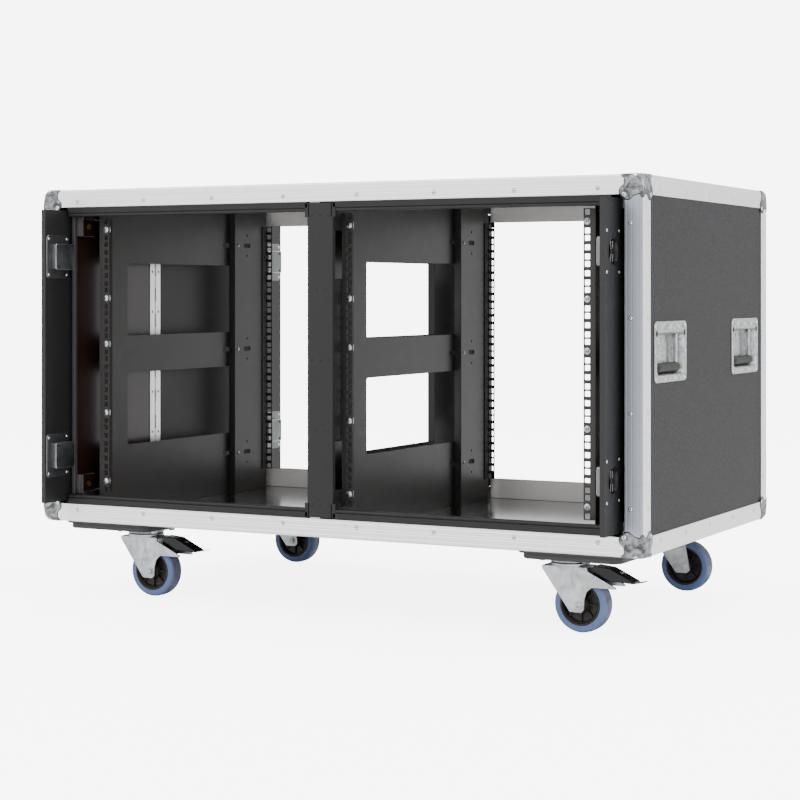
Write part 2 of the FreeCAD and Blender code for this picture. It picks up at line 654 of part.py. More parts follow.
def make_handles():
    """Recessed trays in the side panels, and a sprung bail with a round grip in each."""
    low_y = f"{HANDLE_Y} - tray_width / 2"
    flange = block(
        "tray_flange",
        (f"{SIDE} - edge_thickness", f"{SIDE} - edge_thickness + tray_sheet"),
        (low_y, f"{HANDLE_Y} + tray_width / 2"),
        (f"{HANDLE_Z} - tray_height / 2", f"{HANDLE_Z} + tray_height / 2"),
    )
    bowl = block(
        "tray_bowl",
        (f"{SIDE} - bowl_depth - tray_sheet", f"{SIDE} - edge_thickness"),
        (f"{HANDLE_Y} - bowl_width / 2 - tray_sheet", f"{HANDLE_Y} + bowl_width / 2 + tray_sheet"),
        (f"{HANDLE_Z} - bowl_height / 2 - tray_sheet", f"{HANDLE_Z} + bowl_height / 2 + tray_sheet"),
    )
    hollow = block(
        "tray_hollow",
        (f"{SIDE} - bowl_depth", f"{SIDE} + 1"),
        (f"{HANDLE_Y} - bowl_width / 2", f"{HANDLE_Y} + bowl_width / 2"),
        (f"{HANDLE_Z} - bowl_height / 2", f"{HANDLE_Z} + bowl_height / 2"),
    )
    tray = cut("tray_shell", fuse("tray_solid", [flange, bowl]), [hollow])
    lug_start = f"({HANDLE_Y} + bowl_width / 2 - lug_width)"
    lug = block(
        "tray_lug",
        (f"{SIDE} - bowl_depth", f"{BAIL_X} + lug_height / 2"),
        (lug_start, f"{HANDLE_Y} + bowl_width / 2"),
        (f"{BAIL_Z} - lug_height / 2", f"{HANDLE_Z} + bowl_height / 2"),
    )
    hole = rod(
        "lug_hole", "y", (BAIL_X, f"{lug_start} - 1", BAIL_Z),
        "bail_radius + pin_gap", "lug_width + 1 - tray_sheet")
    drilled = cut("drilled_lug", lug, [hole])
    handle_tray = fuse("handle_tray", [tray, pair(drilled, "y", HANDLE_Y)])
    node("handle_trays", pair(pair(handle_tray, "y"), "x"))

    arm = rod(
        "bail_arm", "z", (BAIL_X, f"{HANDLE_Y} + bail_reach", f"{HANDLE_Z} - bail_drop"),
        "bail_radius", "bail_rise + bail_drop")
    pin = rod(
        "bail_pin", "y", (BAIL_X, f"{HANDLE_Y} + bail_reach - bail_radius", BAIL_Z),
        "bail_radius", "bowl_width / 2 - bail_reach + bail_radius - 2 * tray_sheet - pin_gap")
    grip = rod(
        "bail_grip", "y", (BAIL_X, f"{HANDLE_Y} - bail_reach", f"{HANDLE_Z} - bail_drop"),
        "grip_radius", "2 * bail_reach")
    bail = fuse("bail", [pair(arm, "y", HANDLE_Y), pair(pin, "y", HANDLE_Y), grip])
    for name, turned in (("rear_right", ""), ("front_right", "y"), ("rear_left", "x"), ("front_left", "xy")):
        placed(f"{name}_handle_bail", group(f"{name}_bail", [bail]) if not turned else bail, turned)


CASTORS = {
    "front_right": (1, -1, True), "front_left": (-1, -1, True),
    "rear_right": (1, 1, False), "rear_left": (-1, 1, False),
}
BRAKED_CHEEK = ((-17, -13), (5, -14), (10, -8), (11, 10), (15, 23), (24, 31), (68, 31), (70, 34),
                (16, 60), (16, 66), (-69, 66), (-69, 60))
PLAIN_CHEEK = ((-15, -13), (8, -13), (14, -7), (4, 50), (4, 66), (-69, 66), (-69, 60))
PEDAL_SIDE = ((23, 47), (22, 69), (54, 66), (100, 44), (116, 47), (116, 44), (100, 41), (62, 43), (40, 44))
PEDAL_PIN = ("30", "2 * wheel_radius")
TYRE_TOP = 50


def make_castors():
    boards = []
    plates = []
    bolts = []
    for name, (x_hand, y_hand, braked) in CASTORS.items():
        x = f"({x_hand} * {CASTOR_X})"
        inset = "castor_front" if y_hand < 0 else "castor_rear"
        y = f"({MIDDLE} + {y_hand} * (case_depth / 2 - {inset}))"
        board_x = f"({x_hand} * ({SIDE} - board_side - board_length / 2))"
        board_y = f"({MIDDLE} + {y_hand} * (case_depth / 2 - board_end - board_width / 2))"
        boards.append(round_block(
            f"{name}_board",
            (f"{board_x} - board_length / 2", f"{board_x} + board_length / 2"),
            (f"{board_y} - board_width / 2", f"{board_y} + board_width / 2"),
            (f"{LIFT} - board_thickness", LIFT), "board_round",
        ))
        plates.append(block(
            f"{name}_plate",
            (f"{x} - castor_plate_length / 2", f"{x} + castor_plate_length / 2"),
            (f"{y} - castor_plate_width / 2", f"{y} + castor_plate_width / 2"),
            (PLATE_Z, f"{PLATE_Z} + castor_plate_thickness"),
        ))
        for x_bolt in ("-", "+"):
            for y_bolt in ("-", "+"):
                bolts.append(rod(
                    f"{name}_bolt", "z",
                    (f"{x} {x_bolt} bolt_x", f"{y} {y_bolt} bolt_y", f"{PLATE_Z} - bolt_head"),
                    "bolt_head_radius", "bolt_head"))
        make_fork(name, x, y, braked)
        make_wheel(name, x, y)
        if braked:
            make_pedal(name, x, y)
    node("wheel_boards", cut("boards", group("board_blanks", boards),
                             [nodes["edge_rivets"], nodes["ball_corners"]]))
    node("castor_plates", group("plates", plates))
    node("castor_bolts", fuse("bolts", bolts))


def castor_outline(name, points, x, y, width):
    """A flat-sided castor piece; y is its rear face. Its outline is measured from the axle,
    and points in the upper half of a 50 mm wheel keep their distance from the top of the tyre."""
    texts = []
    for across, high in points:
        above = high > TYRE_TOP / 2
        from_floor = f"2 * wheel_radius + {high - TYRE_TOP}" if above else f"wheel_radius + {high}"
        texts.append((str(across), from_floor))
    return outline(name, "XZ_Plane", texts, width, (f"{x} + trail", y, "0"))


def make_pedal(name, x, y):
    lever = castor_outline(f"{name}_lever", PEDAL_SIDE, x, f"{y} + pedal_width / 2", "pedal_width")
    bore = rod(
        f"{name}_lever_bore", "y",
        (f"{x} + trail + {PEDAL_PIN[0]}", f"{y} - pedal_width / 2 - 1", PEDAL_PIN[1]),
        "pedal_pin_radius + axle_gap", "pedal_width + 2")
    node(f"{name}_brake_pedal", cut(f"{name}_pedal", lever, [bore]))


def make_fork(name, x, y, braked):
    """Bearing cup, crown and two cheeks, with the wheel's axle bolt."""
    points = BRAKED_CHEEK if braked else PLAIN_CHEEK
    near = castor_outline(f"{name}_cheek_near", points, x, f"{y} - fork_inside / 2", "fork_sheet")
    far = castor_outline(
        f"{name}_cheek_far", points, x, f"{y} + fork_inside / 2 + fork_sheet", "fork_sheet")
    right = 16 if braked else 4
    crown = block(
        f"{name}_crown",
        (f"{x} + trail - 69", f"{x} + trail + {right}"),
        (f"{y} - fork_inside / 2 - fork_sheet", f"{y} + fork_inside / 2 + fork_sheet"),
        (f"{CROWN_Z} - fork_sheet", CROWN_Z),
    )
    cup = rod(
        f"{name}_cup", "z", (x, y, f"{CROWN_Z} - fork_sheet"),
        "bearing_radius", f"{PLATE_Z} - swivel_gap - {CROWN_Z} + fork_sheet")
    axle = rod(
        f"{name}_axle", "y",
        (f"{x} + trail", f"{y} - fork_inside / 2 - fork_sheet - axle_head", "wheel_radius"),
        "axle_radius", "fork_inside + 2 * fork_sheet + 2 * axle_head")
    pieces = [near, far, crown, cup, axle]
    if braked:
        pieces.append(rod(
            f"{name}_pedal_pin", "y",
            (f"{x} + trail + {PEDAL_PIN[0]}", f"{y} - fork_inside / 2 - fork_sheet", PEDAL_PIN[1]),
            "pedal_pin_radius", "fork_inside + 2 * fork_sheet"))
    node(f"{name}_castor_fork", fuse(f"{name}_fork", pieces))


def make_wheel(name, x, y):
    centre = f"{x} + trail"
    tyre = rod(f"{name}_tyre_disc", "y", (centre, f"{y} - tyre_width / 2", "wheel_radius"),
               "wheel_radius", "tyre_width")
    seat = rod(f"{name}_tyre_seat", "y", (centre, f"{y} - tyre_width / 2 - 1", "wheel_radius"),
               "hub_radius", "tyre_width + 2")
    node(f"{name}_tyre", cut(f"{name}_tyre_ring", tyre, [seat]))
    rim = rod(f"{name}_hub_disc", "y", (centre, f"{y} - tyre_width / 2", "wheel_radius"),
              "hub_radius", "tyre_width")
    boss = rod(f"{name}_boss", "y", (centre, f"{y} - hub_width / 2", "wheel_radius"),
               "axle_radius * 2", "hub_width")
    bore = rod(f"{name}_hub_bore", "y", (centre, f"{y} - hub_width / 2 - 1", "wheel_radius"),
               "axle_radius + axle_gap", "hub_width + 2")
    node(f"{name}_hub", cut(f"{name}_hub_ring", fuse(f"{name}_hub_solid", [rim, boss]), [bore]))


def export():
    """Checks every object, then writes one file per sub-part."""
    doc.recompute()
    for item in doc.Objects:
        bad = [state for state in item.State if state in ("Invalid", "Error")]
        if bad:
            raise RuntimeError(f"{item.Label} failed to build: {bad}")
    for item in nodes.values():
        if item.Shape.isNull() or not item.Shape.isValid() or item.Shape.Volume <= 0:
            raise RuntimeError(f"{item.Label} has no sound solid")
    os.makedirs("parts", exist_ok=True)
    for item in nodes.values():
        item.Shape.exportStep(f"parts/{item.Label}.step")
    print(len(nodes), "sub-parts")


make_shell()
make_edges()
make_corners()
make_rivets()
make_frames()
make_posts()
rack_holes = make_rails()
make_side_plates()
make_screws(rack_holes)
make_slides()
make_doors()
make_handles()
make_castors()
export()
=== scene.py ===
"""Surfaces and fine shapes of a double-bay equipment rack case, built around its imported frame."""

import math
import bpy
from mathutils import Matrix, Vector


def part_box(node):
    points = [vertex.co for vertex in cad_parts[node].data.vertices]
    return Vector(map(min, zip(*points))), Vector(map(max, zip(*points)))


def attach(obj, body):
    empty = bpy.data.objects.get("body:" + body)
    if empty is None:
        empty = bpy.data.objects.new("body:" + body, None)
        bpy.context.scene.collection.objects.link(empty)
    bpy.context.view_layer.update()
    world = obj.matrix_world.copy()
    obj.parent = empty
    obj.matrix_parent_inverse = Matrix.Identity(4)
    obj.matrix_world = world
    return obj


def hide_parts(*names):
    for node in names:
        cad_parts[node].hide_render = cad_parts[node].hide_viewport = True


bl_info = {
    "name": "Equipment Rack Case",
    "version": (1, 0, 0),
    "blender": (4, 5, 0),
    "location": "3D View > Sidebar > Rack Case",
    "description": "Builds the pieces, finishes and stage of a double-bay equipment rack case",
    "category": "Add Mesh",
}

import bmesh
import bpy
import numpy as np
from bpy.props import FloatProperty, FloatVectorProperty, IntProperty, PointerProperty
from mathutils import Matrix, Vector
from mathutils.geometry import delaunay_2d_cdt

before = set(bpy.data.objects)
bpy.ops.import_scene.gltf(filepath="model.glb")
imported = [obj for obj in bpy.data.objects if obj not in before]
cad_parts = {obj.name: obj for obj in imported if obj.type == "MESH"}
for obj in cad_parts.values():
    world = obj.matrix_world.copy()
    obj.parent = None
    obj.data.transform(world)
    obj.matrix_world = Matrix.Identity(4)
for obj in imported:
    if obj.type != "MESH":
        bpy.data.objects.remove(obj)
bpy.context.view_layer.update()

MM = 0.001
X, Y, Z = Vector((1, 0, 0)), Vector((0, 1, 0)), Vector((0, 0, 1))
DOORS = ("front_left", "front_right", "rear_left", "rear_right")

RACK_UNIT = 44.45
UNIT_HOLES = (6.35, 22.225, 38.1)
SQUARE_HOLE = 9.5
LATCH_INSET = 38.0
WHEEL_RIM = 37.0
CHEEK_INSIDE, CHEEK_SHEET = 20.5, 3.0
CROWN_ABOVE_AXLE = 66
SWIVEL_BEHIND_AXLE = 25
CORNER_RIVET = 36
SMOOTH_UP_TO = 33


def span(node):
    """Lowest and highest corner of a frame node, in millimetres."""
    low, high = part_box(node)
    return low / MM, high / MM


def islands(node):
    """Lowest and highest corner of each separate solid in a frame node, in millimetres."""
    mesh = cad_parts[node].data
    bm = bmesh.new()
    bm.from_mesh(mesh)
    bmesh.ops.remove_doubles(bm, verts=bm.verts, dist=0.01 * MM)
    seen, boxes = set(), []
    for start in bm.verts:
        if start in seen:
            continue
        seen.add(start)
        queue, group = [start], []
        while queue:
            vert = queue.pop()
            group.append(vert.co / MM)
            for edge in vert.link_edges:
                other = edge.other_vert(vert)
                if other not in seen:
                    seen.add(other)
                    queue.append(other)
        boxes.append((Vector(map(min, zip(*group))), Vector(map(max, zip(*group)))))
    bm.free()
    return boxes


LONG_LOW, LONG_HIGH = span("long_edge_profiles")
DEPTH_LOW, DEPTH_HIGH = span("depth_edge_profiles")
CASE_LOW = Vector((DEPTH_LOW.x, LONG_LOW.y, LONG_LOW.z))
CASE_HIGH = Vector((DEPTH_HIGH.x, LONG_HIGH.y, LONG_HIGH.z))
CENTRE = (CASE_LOW + CASE_HIGH) / 2


def linear(red, green, blue):
    """A colour given in 0 to 255 display steps, as linear light with full alpha."""
    steps = (value / 255 for value in (red, green, blue))
    return (*(v / 12.92 if v <= 0.04045 else ((v + 0.055) / 1.055) ** 2.4 for v in steps), 1.0)


def length(name, description, millimetres):
    """A size of the panel, given in millimetres."""
    return FloatProperty(name=name, description=description, default=millimetres * MM, min=0.0,
                         precision=5, unit="LENGTH")


def colour(name, description, shade):
    """A colour of the panel, given in 0 to 255 display steps."""
    return FloatVectorProperty(name=name, description=description, default=linear(*shade), size=4,
                               min=0.0, max=1.0, subtype="COLOR")


class RackCaseSizes(bpy.types.PropertyGroup):
    """Sizes of the fine shapes; the main sizes come from the frame."""

    arris_round: length("Arris rounding", "Outer rounding along the aluminium edges", 3)
    groove_depth: length("Groove depth", "Depth of the long grooves in the aluminium edges", 0.22)
    groove_width: length("Groove width", "Width of the long grooves in the aluminium edges", 0.8)
    tip_round: length("Ball rounding", "Rounding at the tip of each ball corner", 15)
    corner_sheet: length("Corner sheet", "Sheet thickness of the ball corners", 1.6)
    bend_round: length("Bend rounding", "Outer rounding of folded black sheet", 2.5)
    window_round: length("Window rounding", "Rounding in the corners of the side plate windows", 6)
    slot_length: length("Slot length", "Length of the tie slots in the side plates", 26)
    slot_width: length("Slot width", "Width of the tie slots in the side plates", 9)
    tray_round: length("Tray rounding", "Corner rounding of the handle trays", 10)
    bowl_draft: length("Bowl draft", "How far the bowl walls of the handle trays lean in", 5)
    grip_waist: length("Grip waist", "How much thinner the handle grip is at its middle", 0.7)
    board_step: length("Board step", "How far the lower layer of each wheel board is set back", 8)
    round_steps: IntProperty(name="Round steps", description="Sides used for large round shapes",
                             default=64, min=16, max=128)


class RackCaseColours(bpy.types.PropertyGroup):
    """Colours of the finishes."""

    laminate: colour("Laminate", "Outer textured laminate", (29, 29, 31))
    lining: colour("Lining", "Smooth inner faces of the boards", (40, 38, 37))
    aluminium: colour("Aluminium", "Satin aluminium edges", (250, 250, 252))
    # Painted shade: a darker, bluer copy of the aluminium for upright faces turned to the front and
    # rear.
    upright: colour("Upright aluminium", "Satin aluminium of the upright edges", (170, 175, 184))
    zinc: colour("Zinc", "Bright zinc plate", (200, 204, 207))
    zinc_dark: colour("Dark zinc", "Darker patches in the zinc plate", (104, 112, 118))
    powder: colour("Powder coat", "Fine black powder coat", (23, 23, 24))
    sheet: colour("Dark sheet", "Smooth dark coat of rails and plates", (44, 42, 41))
    phenolic: colour("Phenolic film", "Brown film on the guide boards", (28, 12, 9))
    tyre: colour("Tyre", "Blue elastic tyre", (84, 102, 142))
    hub: colour("Hub", "Black moulded wheel hub", (32, 27, 26))
    rubber: colour("Grip rubber", "Handle grip", (33, 32, 32))


def shade(tone, *shares):
    """The colour made darker or lighter by each share."""
    return [tuple(c * share for c in tone[:3]) + (1.0,) for share in shares]


class Value:
    """A number socket that takes part in sums; each sum adds one Math node."""

    def __init__(self, finish, socket):
        self.finish, self.socket = finish, socket

    def _sum(self, operation, first, second):
        made = self.finish.node("ShaderNodeMath", {"operation": operation}, {0: first, 1: second})
        return Value(self.finish, made.outputs[0])

    def __add__(self, other):
        return self._sum("ADD", self, other)

    def __mul__(self, other):
        return self._sum("MULTIPLY", self, other)

    def __sub__(self, other):
        return self._sum("SUBTRACT", self, other)

    def __rsub__(self, other):
        return self._sum("SUBTRACT", other, self)

    def __lt__(self, other):
        return self._sum("LESS_THAN", self, other)

    def __gt__(self, other):
        return self._sum("GREATER_THAN", self, other)

    __radd__ = __add__
    __rmul__ = __mul__


class Finish:
    """One material: a shader with fixed values, and the nodes that vary its look over a surface."""

    def __init__(self, name, **fixed):
        self.material = bpy.data.materials.new(name)
        self.material.use_nodes = True
        self.tree = self.material.node_tree
        self.shader = self.tree.nodes["Principled BSDF"]
        for socket, value in fixed.items():
            self.shader.inputs[socket.replace("_", " ")].default_value = value
        self.place = self.node("ShaderNodeTexCoord").outputs["Object"]

    def node(self, kind, settings=None, sockets=None):
        made = self.tree.nodes.new(kind)
        for name, value in (settings or {}).items():
            setattr(made, name, value)
        for key, value in (sockets or {}).items():
            value = value.socket if isinstance(value, Value) else value
            if isinstance(value, bpy.types.NodeSocket):
                self.tree.links.new(value, made.inputs[key])
            else:
                made.inputs[key].default_value = value
        return made

    def noise(self, scale, detail=2.0, stretch=None, distortion=0.0):
        """Noise from 0 to 1; scale counts its grains along one metre."""
        place = self.place
        if stretch:
            place = self.node("ShaderNodeVectorMath", {"operation": "MULTIPLY"},
                              {0: place, 1: stretch}).outputs[0]
        made = self.node("ShaderNodeTexNoise", None,
                         {"Vector": place, "Scale": scale, "Detail": detail,
                          "Distortion": distortion})
        return Value(self, made.outputs[0])

    def ramp(self, value, low, high):
        """0 below low, 1 above high and an even slope between them."""
        made = self.node("ShaderNodeMapRange", {"clamp": True},
                         {0: value, 1: low, 2: high, 3: 0.0, 4: 1.0})
        return Value(self, made.outputs[0])

    def mix(self, factor, first, second):
        """A colour between first and second."""
        made = self.node("ShaderNodeMix", {"data_type": "RGBA"}, {0: factor, 6: first, 7: second})
        return made.outputs[2]

    def paint(self, **links):
        for socket, value in links.items():
            value = value.socket if isinstance(value, Value) else value
            self.tree.links.new(value, self.shader.inputs[socket.replace("_", " ")])

    def bump(self, height, strength, distance=0.2):
        made = self.node("ShaderNodeBump", None,
                         {"Strength": strength, "Distance": distance * MM, "Height": height})
        self.paint(Normal=made.outputs[0])

    def facing_ends(self):
        """1 on faces turned towards either end of the case, 0 on the others."""
        normal = self.node("ShaderNodeNewGeometry").outputs["Normal"]
        along = self.node("ShaderNodeVectorMath", {"operation": "DOT_PRODUCT"},
                          {0: normal, 1: X}).outputs["Value"]
        return (Value(self, along) * Value(self, along)) > 0.5

    def inside(self):
        """1 on faces turned towards the middle of the case, 0 on its outer faces."""
        geometry = self.node("ShaderNodeNewGeometry")
        out = self.node("ShaderNodeVectorMath", {"operation": "SUBTRACT"},
                        {0: geometry.outputs["Position"], 1: CENTRE * MM}).outputs[0]
        along = self.node("ShaderNodeVectorMath", {"operation": "DOT_PRODUCT"},
                          {0: out, 1: geometry.outputs["Normal"]}).outputs["Value"]
        return Value(self, along) < 0.0


def laminate_finish(name, colours):
    """Speckled and dull outside; smooth under a clear coat on the inner faces."""
    made = Finish(name, IOR=1.45, Specular_IOR_Level=0.3, Coat_Roughness=0.14)
    grain, cloud, inner = made.noise(330, 3), made.noise(9, 2), made.inside()
    outer = made.mix(made.ramp(grain, 0.4, 0.62), *shade(colours.laminate, 0.3, 2.1))
    lining = made.mix(cloud, *shade(colours.lining, 0.8, 1.2))
    made.paint(Base_Color=made.mix(inner, outer, lining),
               Roughness=(1 - inner) * (0.5 + 0.16 * grain) + inner * (0.16 + 0.06 * cloud),
               Coat_Weight=inner * (0.8 + 0.2 * cloud))
    made.bump((1 - inner) * grain, 0.5, 0.3)
    return made


def door_finish(name, colours):
    made = Finish(name, IOR=1.45)
    grain, cloud, inner = made.noise(720, 3), made.noise(7, 2), made.inside()
    outer = made.mix(made.ramp(grain, 0.3, 0.7), *shade(colours.laminate, 0.3, 0.8))
    lining = made.mix(made.ramp(grain, 0.3, 0.7), *shade(colours.powder, 0.7, 1.1))
    made.paint(Base_Color=made.mix(inner, outer, lining), Roughness=0.4 + 0.1 * grain + 0.1 * cloud)
    made.bump(grain, 0.3, 0.2)
    return made


def aluminium_finish(name, stretch, tone, end_lit_tone):
    """Drawn metal with streaks along it; faces turned to the ends of the case take the fourth tone
    and the rest the third, so one metal can carry a painted lit side and a painted shaded side.
    """
    made = Finish(name, Metallic=1.0)
    streak, scuff = made.noise(1, 3, stretch), made.noise(40, 4, None, 0.6)
    worn, sideways = made.ramp(scuff, 0.6, 0.75), made.facing_ends()
    metal = made.mix(sideways, made.mix(streak, *shade(tone, 0.9, 1.0)),
                     made.mix(streak, *shade(end_lit_tone, 0.9, 1.0)))
    made.paint(Base_Color=made.mix(worn * 0.14, metal, shade(tone, 0.6)[0]),
               Roughness=0.34 + 0.14 * streak + 0.08 * worn)
    made.bump(streak, 0.08, 0.1)
    return made


def along_x(name, colours):
    return aluminium_finish(name, (5, 900, 900), colours.aluminium, colours.aluminium)


def along_y(name, colours):
    return aluminium_finish(name, (900, 5, 900), colours.aluminium, colours.aluminium)


def along_z(name, colours):
    # Upright faces turned to the front and rear take the darker tone: painted shade on one side of
    # the same metal.
    return aluminium_finish(name, (900, 900, 5), colours.upright, colours.aluminium)


def zinc_finish(name, colours, grain, contrast, tint, rough):
    """Plated steel: patches of the given grain, with pale yellow stains of strength tint."""
    made = Finish(name, Metallic=1.0)
    patch, fine = made.noise(grain, 4, None, 1.4), made.noise(420, 2)
    stain = made.ramp(made.noise(22, 2, None, 0.8), 0.52, 0.72)
    dark = [contrast * d + (1 - contrast) * z for d, z in zip(colours.zinc_dark, colours.zinc)]
    metal = made.mix(made.ramp(patch, 0.35, 0.68), tuple(dark), tuple(colours.zinc))
    made.paint(Base_Color=made.mix(stain * tint, metal, linear(214, 198, 150)),
               Roughness=rough + 0.16 * patch + 0.05 * fine)
    made.bump(patch + 0.2 * fine, 0.18, 0.25)
    return made


def mottled_zinc(name, colours):
    return zinc_finish(name, colours, 85, 1.0, 0.4, 0.24)


def bright_zinc(name, colours):
    return zinc_finish(name, colours, 34, 0.6, 0.12, 0.24)


def rivet_zinc(name, colours):
    made = Finish(name, Metallic=1.0)
    fine = made.noise(500, 3)
    made.paint(Base_Color=made.mix(fine, *shade(colours.aluminium, 0.86, 1.0)),
               Roughness=0.2 + 0.16 * fine)
    made.bump(fine, 0.1, 0.1)
    return made


def corner_zinc(name, colours):
    made = Finish(name, Metallic=1.0)
    patch, fine = made.noise(70, 4, None, 1.2), made.noise(400, 2)
    # Real mottle of the pressed zinc, kept dark overall as a painted reflection of a dark surround.
    metal = made.mix(made.ramp(patch, 0.36, 0.64), *shade(colours.zinc, 0.12, 0.62))
    made.paint(Base_Color=metal, Roughness=0.3 + 0.16 * patch + 0.05 * fine)
    made.bump(patch + 0.2 * fine, 0.2, 0.25)
    return made


def corner_rim_dirt_and_shadow(name, colours):
    # A near-black zinc line round the edge of each ball corner: partly dirt, partly painted shadow
    # where the corner meets the boards.
    made = Finish(name, Metallic=1.0)
    patch = made.noise(120, 3)
    made.paint(Base_Color=made.mix(patch, *shade(colours.zinc, 0.06, 0.16)),
               Roughness=0.4 + 0.2 * patch)
    return made


def tray_zinc(name, colours):
    made = Finish(name, Metallic=1.0)
    patch, fine = made.noise(150, 3, None, 0.3), made.noise(400, 2)
    stain = made.ramp(made.noise(28, 2, None, 0.8), 0.5, 0.7)
    metal = made.mix(made.ramp(patch, 0.36, 0.64), *shade(colours.zinc, 0.5, 1.0))
    made.paint(Base_Color=made.mix(stain * 0.3, metal, linear(204, 196, 158)),
               Roughness=0.24 + 0.18 * patch + 0.05 * fine)
    made.bump(patch + 0.2 * fine, 0.25, 0.3)
    return made


def shade_and_sheen_zinc(name, colours):
    # Zinc kept dark as a painted reflection of a dark surround; laid on edges it also serves as
    # painted shade outlines, and on black parts as painted highlight rims.
    made = Finish(name, Metallic=1.0)
    patch, fine = made.noise(40, 3, None, 0.8), made.noise(420, 2)
    made.paint(Base_Color=made.mix(patch, *shade(colours.zinc, 0.16, 0.4)),
               Roughness=0.3 + 0.14 * patch + 0.05 * fine)
    made.bump(patch + 0.2 * fine, 0.15, 0.25)
    return made


def bar_painted_reflection(name, colours):
    """Near-white strip on the inner faces of the frame bars: a painted reflection of the white
    surround.
    """
    made = Finish(name, IOR=1.45)
    cloud, fine = made.noise(14, 3), made.noise(600, 2)
    made.paint(Base_Color=made.mix(cloud, linear(248, 245, 242), linear(254, 252, 250)),
               Roughness=0.45 + 0.1 * fine)
    return made


def coat_finish(name, tone, grain, rough, strength):
    """A coat over sheet metal or moulding: fine grain, faint clouds and slightly rubbed patches."""
    made = Finish(name, IOR=1.5, Specular_IOR_Level=0.3)
    fine, cloud = made.noise(grain, 2), made.noise(16, 3, None, 0.4)
    rubbed = made.ramp(cloud, 0.58, 0.72)
    base = made.mix(fine, *shade(tone, 0.72, 1.28))
    made.paint(Base_Color=made.mix(rubbed * 0.3, base, shade(tone, 1.5)[0]),
               Roughness=rough + 0.12 * cloud - 0.08 * rubbed)
    made.bump(fine, strength, 0.15)
    return made


def powder_coat(name, colours):
    return coat_finish(name, colours.powder, 1300, 0.42, 0.3)


def dark_sheet(name, colours):
    return coat_finish(name, colours.sheet, 900, 0.3, 0.12)


def lip_coat(name, colours):
    return coat_finish(name, linear(52, 52, 56), 900, 0.38, 0.2)


def gloss_black(name, colours):
    return coat_finish(name, linear(20, 20, 21), 1500, 0.14, 0.02)


def phenolic_film(name, colours):
    made = Finish(name, IOR=1.5)
    weave, cloud = made.noise(1, 2, (1400, 1400, 160)), made.noise(11, 3)
    made.paint(Base_Color=made.mix(cloud, *shade(colours.phenolic, 0.7, 1.35)),
               Roughness=0.24 + 0.12 * weave)
    made.bump(weave, 0.12, 0.1)
    return made


def ply_edge(name, colours):
    made = Finish(name, IOR=1.4)
    plies, fine = made.noise(1, 1, (700, 12, 12)), made.noise(500, 3)
    made.paint(Base_Color=made.mix(made.ramp(plies, 0.4, 0.6), linear(46, 45, 44),
                                   linear(70, 68, 66)),
               Roughness=0.6 + 0.2 * fine)
    made.bump(plies, 0.3, 0.3)
    return made


def brass(name, colours):
    made = Finish(name, Metallic=1.0)
    wear = made.noise(300, 3)
    made.paint(Base_Color=made.mix(wear, linear(150, 118, 70), linear(205, 172, 110)),
               Roughness=0.3 + 0.15 * wear)
    return made


def grip_rubber(name, colours):
    return coat_finish(name, colours.rubber, 650, 0.5, 0.35)


def tyre_wall(name, colours):
    made = Finish(name, IOR=1.45)
    cloud, dust = made.noise(30, 4, None, 0.5), made.noise(520, 3)
    base = made.mix(cloud, *shade(colours.tyre, 0.86, 1.12))
    made.paint(Base_Color=made.mix(made.ramp(dust, 0.6, 0.8) * 0.25, base, linear(150, 160, 182)),
               Roughness=0.5 + 0.15 * cloud)
    made.bump(dust, 0.15, 0.2)
    return made


def tyre_tread(name, colours):
    made = Finish(name, IOR=1.45)
    cloud, grit = made.noise(45, 4, None, 0.8), made.noise(700, 4)
    base = made.mix(made.ramp(cloud, 0.35, 0.65), linear(70, 76, 96), linear(104, 108, 128))
    made.paint(Base_Color=made.mix(made.ramp(grit, 0.55, 0.8) * 0.4, base, linear(128, 130, 140)),
               Roughness=0.62 + 0.2 * grit)
    made.bump(grit, 0.35, 0.3)
    return made


def hub_nylon(name, colours):
    return coat_finish(name, colours.hub, 480, 0.34, 0.2)


def board_black(name, colours):
    made = Finish(name, IOR=1.45)
    grain, plies = made.noise(1, 3, (60, 900, 900)), made.noise(1, 1, (4, 4, 500))
    base = made.mix(grain, linear(28, 28, 29), linear(48, 47, 47))
    made.paint(Base_Color=made.mix(made.ramp(plies, 0.5, 0.6) * 0.4, base, linear(62, 58, 54)),
               Roughness=0.42 + 0.2 * grain)
    made.bump(grain + plies, 0.2, 0.3)
    return made


def painted_shade_hole(name, colours):
    # Near black for the floors of holes, recesses, slots and gaps: painted shade where light does
    # not reach.
    made = Finish(name)
    grit = made.noise(900, 2)
    made.paint(Base_Color=made.mix(grit, linear(10, 10, 10), linear(34, 32, 31)),
               Roughness=0.7 + 0.2 * grit)
    return made


def pale_floor(name, colours):
    made = Finish(name, Emission_Strength=5.5)
    cloud = made.noise(1.5, 2)
    made.paint(Base_Color=made.mix(cloud, linear(250, 250, 250), linear(254, 254, 254)),
               Roughness=0.75 + 0.1 * cloud)
    seen = made.node("ShaderNodeLightPath").outputs["Is Camera Ray"]
    made.paint(Emission_Color=made.mix(seen, linear(0, 0, 0), linear(255, 255, 255)))
    return made


FINISHES = {maker.__name__: maker for maker in (
    laminate_finish, door_finish, along_x, along_y, along_z, mottled_zinc, bright_zinc, rivet_zinc,
    corner_zinc, corner_rim_dirt_and_shadow, tray_zinc, shade_and_sheen_zinc, bar_painted_reflection, powder_coat, dark_sheet, lip_coat,
    gloss_black, phenolic_film, ply_edge, brass, grip_rubber, tyre_wall, tyre_tread, hub_nylon,
    board_black, painted_shade_hole, pale_floor)}


def finish(name):
    """The named material, made the first time it is asked for."""
    if name not in bpy.data.materials:
        FINISHES[name](name, bpy.context.scene.rack_case_colours)
    return bpy.data.materials[name]


